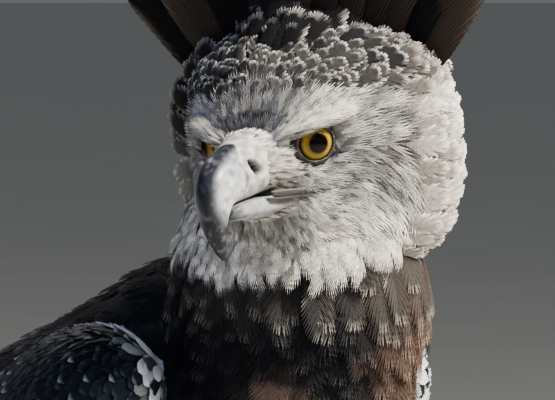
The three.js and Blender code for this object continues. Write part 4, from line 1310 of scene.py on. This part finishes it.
for face_side in (1, -1):
    for tier in range(3):
        for i in range(8 - tier):
            aside = i - (7 - tier) / 2
            tip = 150 - 34 * tier - 4 * abs(aside)
            line = []
            for share in np.linspace(0, 1, 5):
                height = 22 - 9 * share + 1.2 * tier - 0.02 * (aside * 9) ** 2
                line.append(on_tail(tip * share - 10 * tier, aside * (7 + 4 * share), face_side * height))
            axis.append(line)
            outward.append([tail_up * face_side])
covers = flat_bed(axis, outward, 120.0, 24.0)
coat("tail_coverts", covers, barbed(20, 0.6, 9.0), FLIGHT, "tail_plumage", paint_tail_coverts,
     rim=(0.8, 1.0), loose=0.4)

# Crest: one large feather for each of the solids, with its root's distance to the side and up,
# length, width and lean, and small ones over their feet
CREST = [
    (14, 40, 88, 26, 4),
    (23, 38, 112, 31, 9),
    (31, 34, 128, 34, 14),
    (39, 29, 126, 36, 19),
    (46, 22, 108, 35, 25),
    (51, 12, 84, 31, 31),
]
CREST_AHEAD, CREST_STEP, CREST_BACK, CREST_CURL = -56, 3, 2, 8


def crest_line(left, up, long, lean, ahead, back_lean=CREST_BACK, curl=CREST_CURL):
    tilt = math.radians(lean)
    along = unit(at(-math.sin(math.radians(back_lean)), math.sin(tilt), math.cos(tilt)))
    line = []
    for share in np.linspace(0, 1, 7):
        bend = at(-curl * (long * share / 100) ** 2, 0, 0)
        line.append(from_head(at(ahead, left, up) + along * long * share + bend))
    return line


rows = []  # line, length and width
for side in (1, -1):
    for i, (left, up, long, width, lean) in enumerate(CREST):
        ahead = CREST_AHEAD - CREST_STEP * i - (CREST_STEP / 2 if side < 0 else 0)
        rows.append((crest_line(side * left, up, long, side * lean, ahead), long, width))
rows.append((crest_line(0, 40, 58, 0, CREST_AHEAD + CREST_STEP), 58, 22))
low_rows = []
for side in (1, -1):
    for i in range(9):
        left = 3 + 5.0 * i
        up = 37 - 0.012 * left**2
        for tier in range(4):
            lean = 2 + 3.0 * i + rng.uniform(-9, 9)
            long = (38 - 4 * tier) * rng.uniform(0.85, 1.2)
            ahead = CREST_AHEAD + 12 - 2.5 * i + 7 * tier + rng.uniform(-2, 2)
            out = side * (left + rng.uniform(-2, 2))
            line = crest_line(out, up, long, side * lean, ahead, 30 + 11 * tier, 26)
            low_rows.append((line, long, long * rng.uniform(0.6, 0.75)))
facing = head_turn @ AHEAD
axis, long, wide = zip(*rows)
coat("crest_feathers", flat_bed(axis, facing, long, wide), barbed(30, 0.72, 6.5), CONTOUR,
     "head_plumage", paint_crest, rim=(0.86, 1.0), camber=0.1, root_shade=0.8, barb_shading=0.12)
axis, long, wide = zip(*low_rows)
coat("crest_foot_feathers", flat_bed(axis, facing, long, wide), barbed(16, 0.6, 3.0), CONTOUR,
     "head_plumage", paint_crest_foot, rim=(0.88, 1.0), camber=0.15, root_shade=0.75, barb_shading=0.12,
     loose=1.4, vary=0.25)


# Bill: the surface of the solid, finer, and how far ahead, left and up its points are, with the
# height of the mouth line
def bill_form(skin):
    points, faces, _, _ = laid_ball(skin, 120, 110)
    f, l, h = head_places(points)
    return faces, f, l, h, np.interp(f, MOUTH_AHEAD, MOUTH_UP)


# Horn, with a soft base
def bill_piece(name, node, points, faces, soft, horn, base, *layers):
    colour = layered(horn * (1 - soft[:, None]) + base * soft[:, None], *layers)
    piece_from(name, points, faces, BILL_HORN, colour, "bill_horn", node, soft=soft)


# The upper bill ends at the mouth line below and in front, and has its nostrils: slits that run
# down and back, painted black inside as their shade
BILL_CUT, LIP_GAP, NOSTRIL_AHEAD, NOSTRIL_UP, NOSTRIL_DEPTH = 55.2, 0.4, 34.5, -3, 6.0
faces, f, l, h, mouth = bill_form(UPPER_BILL)
under = (h < mouth) & (f < 55)
lifted = under & (mouth - h <= BILL_CUT - f)
h = np.where(lifted, mouth, h)
f = np.where(under & ~lifted, BILL_CUT, f)
lengthwise = 0.69 * (f - NOSTRIL_AHEAD) + 0.72 * (h - NOSTRIL_UP)
crosswise = 0.72 * (f - NOSTRIL_AHEAD) - 0.69 * (h - NOSTRIL_UP)
slit = (lengthwise / 5.0) ** 2 + (crosswise / 2.5) ** 2
dent = np.exp(-slit**2) * (np.abs(l) > 5)
l = l - np.sign(l) * NOSTRIL_DEPTH * dent
edge = 35 + 10 * ramp(np.abs(l) / 12, 0.2, 0.9) + 1.5 * np.sin(h * 0.25)
points = out_of_head(np.stack([l, -f, h], axis=1))
ridge = 1 - ramp(np.abs(l), 3, 8.5)
tip = ramp(f + 0.6 * (-h - 10), 60, 82)
worn = ramp(drift(points, 6, 24) + 0.6 * drift(points, 2.6, 25), 0.35, 0.9)
horn = layered(
    tones("#7A7F87", "#12161C", ridge + tip),
    # Painted highlight: a pale band along each flank, where the glossy horn catches the light
    ("#B4B8BB", 0.7 * np.exp(-(((np.abs(l) - 9) / 3.5) ** 2 + ((h + 12) / 9) ** 2))),
    ("#4C5158", worn * 0.5),
)
bill_piece(
    "bill_upper_horn", "bill_upper", points, faces, 1 - ramp(f, edge - 1.0, edge + 0.6), horn,
    mottled(points, "#77767A", "#AAA8A4", 6, 20),
    ("#2B2826", 0.75 * np.exp(-(((f - edge) / 0.9) ** 2))),
    # Painted shade: the inside of each nostril near black
    ("#050404", dent * 1.8),
)
faces, f, l, h, mouth = bill_form(LOWER_BILL)
points = out_of_head(np.stack([l, -f, np.minimum(h, mouth - LIP_GAP)], axis=1))
horn = tones("#7B7D80", "#33373D", ramp(f, 42, 53))
base = mottled(points, "#827E79", "#5C5956", 6, 21, 0.6)
bill_piece("bill_lower_horn", "bill_lower", points, faces, 1 - ramp(f, 18, 24), horn, base)

# The corner of the mouth: a thin near-black line, painted shade in the gap between two folds of
# bare skin. Rows: ahead, out, up and share of the thickness
MOUTH_ROWS = [
    (27, 14.7, -18.9, 0),
    (22, 16.7, -19.6, 1.2),
    (14, 20.0, -21, 1.15),
    (7, 25.3, -22.2, 1),
    (1, 29.9, -23, 0.75),
    (-4, 33.3, -24, 0),
]
# Their rise over the line, half thickness and colour
MOUTH_FOLDS = {
    "upper": (1.5, 0.75, "#4C4643"),
    # Painted shade: the near-black slit where the lips meet
    "slit": (0, 1.4, "#0B0908"),
    "lower": (-1.7, 0.85, "#3A3532"),
}
for side, word in SIDES:
    for name, (drop, half, code) in MOUTH_FOLDS.items():
        rows = []
        for i, (ahead, out, up, share) in enumerate(MOUTH_ROWS):
            thick = half * share
            rows.append((ahead, out, up + drop * (1.1 - 0.13 * i), 0.8 * thick, thick, thick))
        points, faces, s, _ = laid_ball(side_form(rows, side), 16, 60)
        piece_from(f"mouth_{name}_{word}", points, faces, MOUTH_SKIN, tones(code, code, s), "bill_horn")

# Eyes: a ball with the clear dome of the iris, and a ring of bare black skin round it
CORNEA_RADIUS, IRIS_RADIUS = 9.9, 9.3
LID_WIDE, LID_LOW, LID_HIGH = 9.2, 8.7, 7.6  # half sizes of their opening
for side, word in SIDES:
    middle, *axes = eye_frame(side)
    ball, faces = ball_of(64, 48)
    # From the pole: the dome's cap, then the ball behind it
    on_ball = ball * EYE_RADIUS
    flat = np.sqrt(ball[:, 0] ** 2 + ball[:, 1] ** 2) * EYE_RADIUS
    on_dome = np.sqrt(np.maximum(CORNEA_RADIUS**2 - flat**2, 0)) + EYE_RADIUS - CORNEA_RADIUS + 0.8
    front = (ball[:, 2] > 0) & (flat < CORNEA_RADIUS)
    on_ball[:, 2] = np.where(front, np.maximum(on_ball[:, 2], on_dome), on_ball[:, 2])
    iris = np.where(ball[:, 2:] > 0, on_ball[:, :2] / (2 * IRIS_RADIUS) + 0.5, 0.02)
    points = out_of_head(on_ball @ axes + middle)
    piece_from("eye_globe_" + word, points, faces, EYE, 0 * points, "eye", "eye_" + word,
               uvs={"Iris": iris})
    # The lids: a torus that hugs the ball, thicker above and towards the bill
    bm = bmesh.new()
    grid = bmesh.ops.create_grid(bm, x_segments=96, y_segments=14, size=1.0)
    for v in grid["verts"]:
        turn, roll = math.pi * v.co.x, math.pi * v.co.y
        up_share, to_bill = math.sin(turn), -math.cos(turn) * side
        thick = 1.7 + 0.2 * max(0, up_share) + 1.3 * max(0, to_bill)
        high = (LID_LOW if up_share < 0 else LID_HIGH) + thick
        x = math.cos(turn) * (LID_WIDE + thick * 1.3 * (1 + math.cos(roll)))
        y = up_share * (high + thick * math.cos(roll))
        depth = math.sqrt(max(EYE_RADIUS**2 - x * x - y * y, 4)) + 0.4 + thick * 0.75 * math.sin(roll)
        v.co = (x, y, depth)
    bmesh.ops.remove_doubles(bm, verts=bm.verts, dist=0.02)
    bmesh.ops.recalc_face_normals(bm, faces=bm.faces)
    ring, faces = arrays_of(bm)
    points = out_of_head(ring @ axes + middle)
    colour = mottled(points, "#171414", "#2A2524", 5, 22, 1.0, 0.0)
    piece_from("lids_" + word, points, faces, LID_SKIN, colour, "head_plumage")


# Legs: scaled skin of the shank and toes as one piece a side, and the claws. A scute rises to its
# edge and stands over the next.
def scuted(count, low, high, rise):
    def lift(s, angle):
        share = (s - low) / (high - low) * count
        inside = (share > 0) & (share < count) & (np.sin(np.radians(angle)) > -0.15)
        return np.where(inside, rise * np.mod(share, 1) ** 2, 0)

    return lift


for side, word in SIDES:
    forms = [laid_ball(TARSUS, 64, 120, scuted(11, 0.1, 0.95, 1.3))[:2]]
    for name, turn, length, half, claw in TOES:
        scutes = scuted(int(length / 6.5), length * 0.05, length * 0.97, 1.2)
        forms.append(laid_ball(toe_surface(turn, length, half), 56, 120, scutes)[:2])
        points, faces, s, _ = laid_ball(claw_surface(turn, length, half, claw), 48, 64)
        points[:, 2] = np.maximum(points[:, 2], 0.0)
        if side < 0:
            points, faces = flipped(points, faces)
        colour = tones("#23201F", "#131213", ramp(s, 0.5, 4))
        piece_from(f"claw_horn_{name}_{word}", points, faces, CLAW_HORN, colour, "claw_horn",
                   f"claw_{name}_{word}", soft=0 * s)
    if side < 0:
        forms = [flipped(*form) for form in forms]
    leg = one_skin("leg_" + word, forms, 1.5, 1)
    places = np.array([v.co for v in leg.data.vertices]) / MM
    for v in leg.data.vertices:
        v.co.z = max(v.co.z, 0.0)
    leg.data.materials.append(FOOT_SKIN)
    tone = mottled(places, "#B99A3C", "#D8BE5C", 14, 23)
    # Painted shade: darker in the lowest 8 mm, next to the floor
    set_markings(leg.data, layered(tone, ("#8C7A45", ramp(-places[:, 2], -8, -1) * 0.5)))
    entered(leg, "leg_skin", "foot_" + word, "tarsus_" + word)

# The skin takes the markings of the feathers that grow on it.
roots, middles = np.concatenate(all_roots), np.concatenate(all_tones)
nearest = kdtree.KDTree(len(roots))
for i, root in enumerate(roots):
    nearest.insert(root * MM, i)
nearest.balance()
set_markings(skin_mesh, middles[[nearest.find(v.co)[1] for v in skin_mesh.vertices]])


# Floor: smooth pale plaster, faintly clouded.
def floor_material():
    material, tree = new_tree("floor_plaster")
    place = add(tree, "TexCoord", output="Object")
    cloud = add(tree, "TexNoise", {"Vector": place, "Scale": 3.0, "Detail": 4.0})
    pair = {"A": (*linear("#C9CAC8"), 1), "B": (*linear("#D6D6D3"), 1)}
    colour = add(tree, "Mix", {"Factor": cloud, **pair}, "Result", data_type="RGBA")
    return closed(material, colour, None, None, {"Roughness": 0.8})


bm = bmesh.new()
bmesh.ops.create_circle(bm, cap_ends=True, segments=96, radius=40.0)
floor_mesh = bpy.data.meshes.new("floor")
bm.to_mesh(floor_mesh)
bm.free()
floor_mesh.materials.append(floor_material())
placed("floor", floor_mesh)
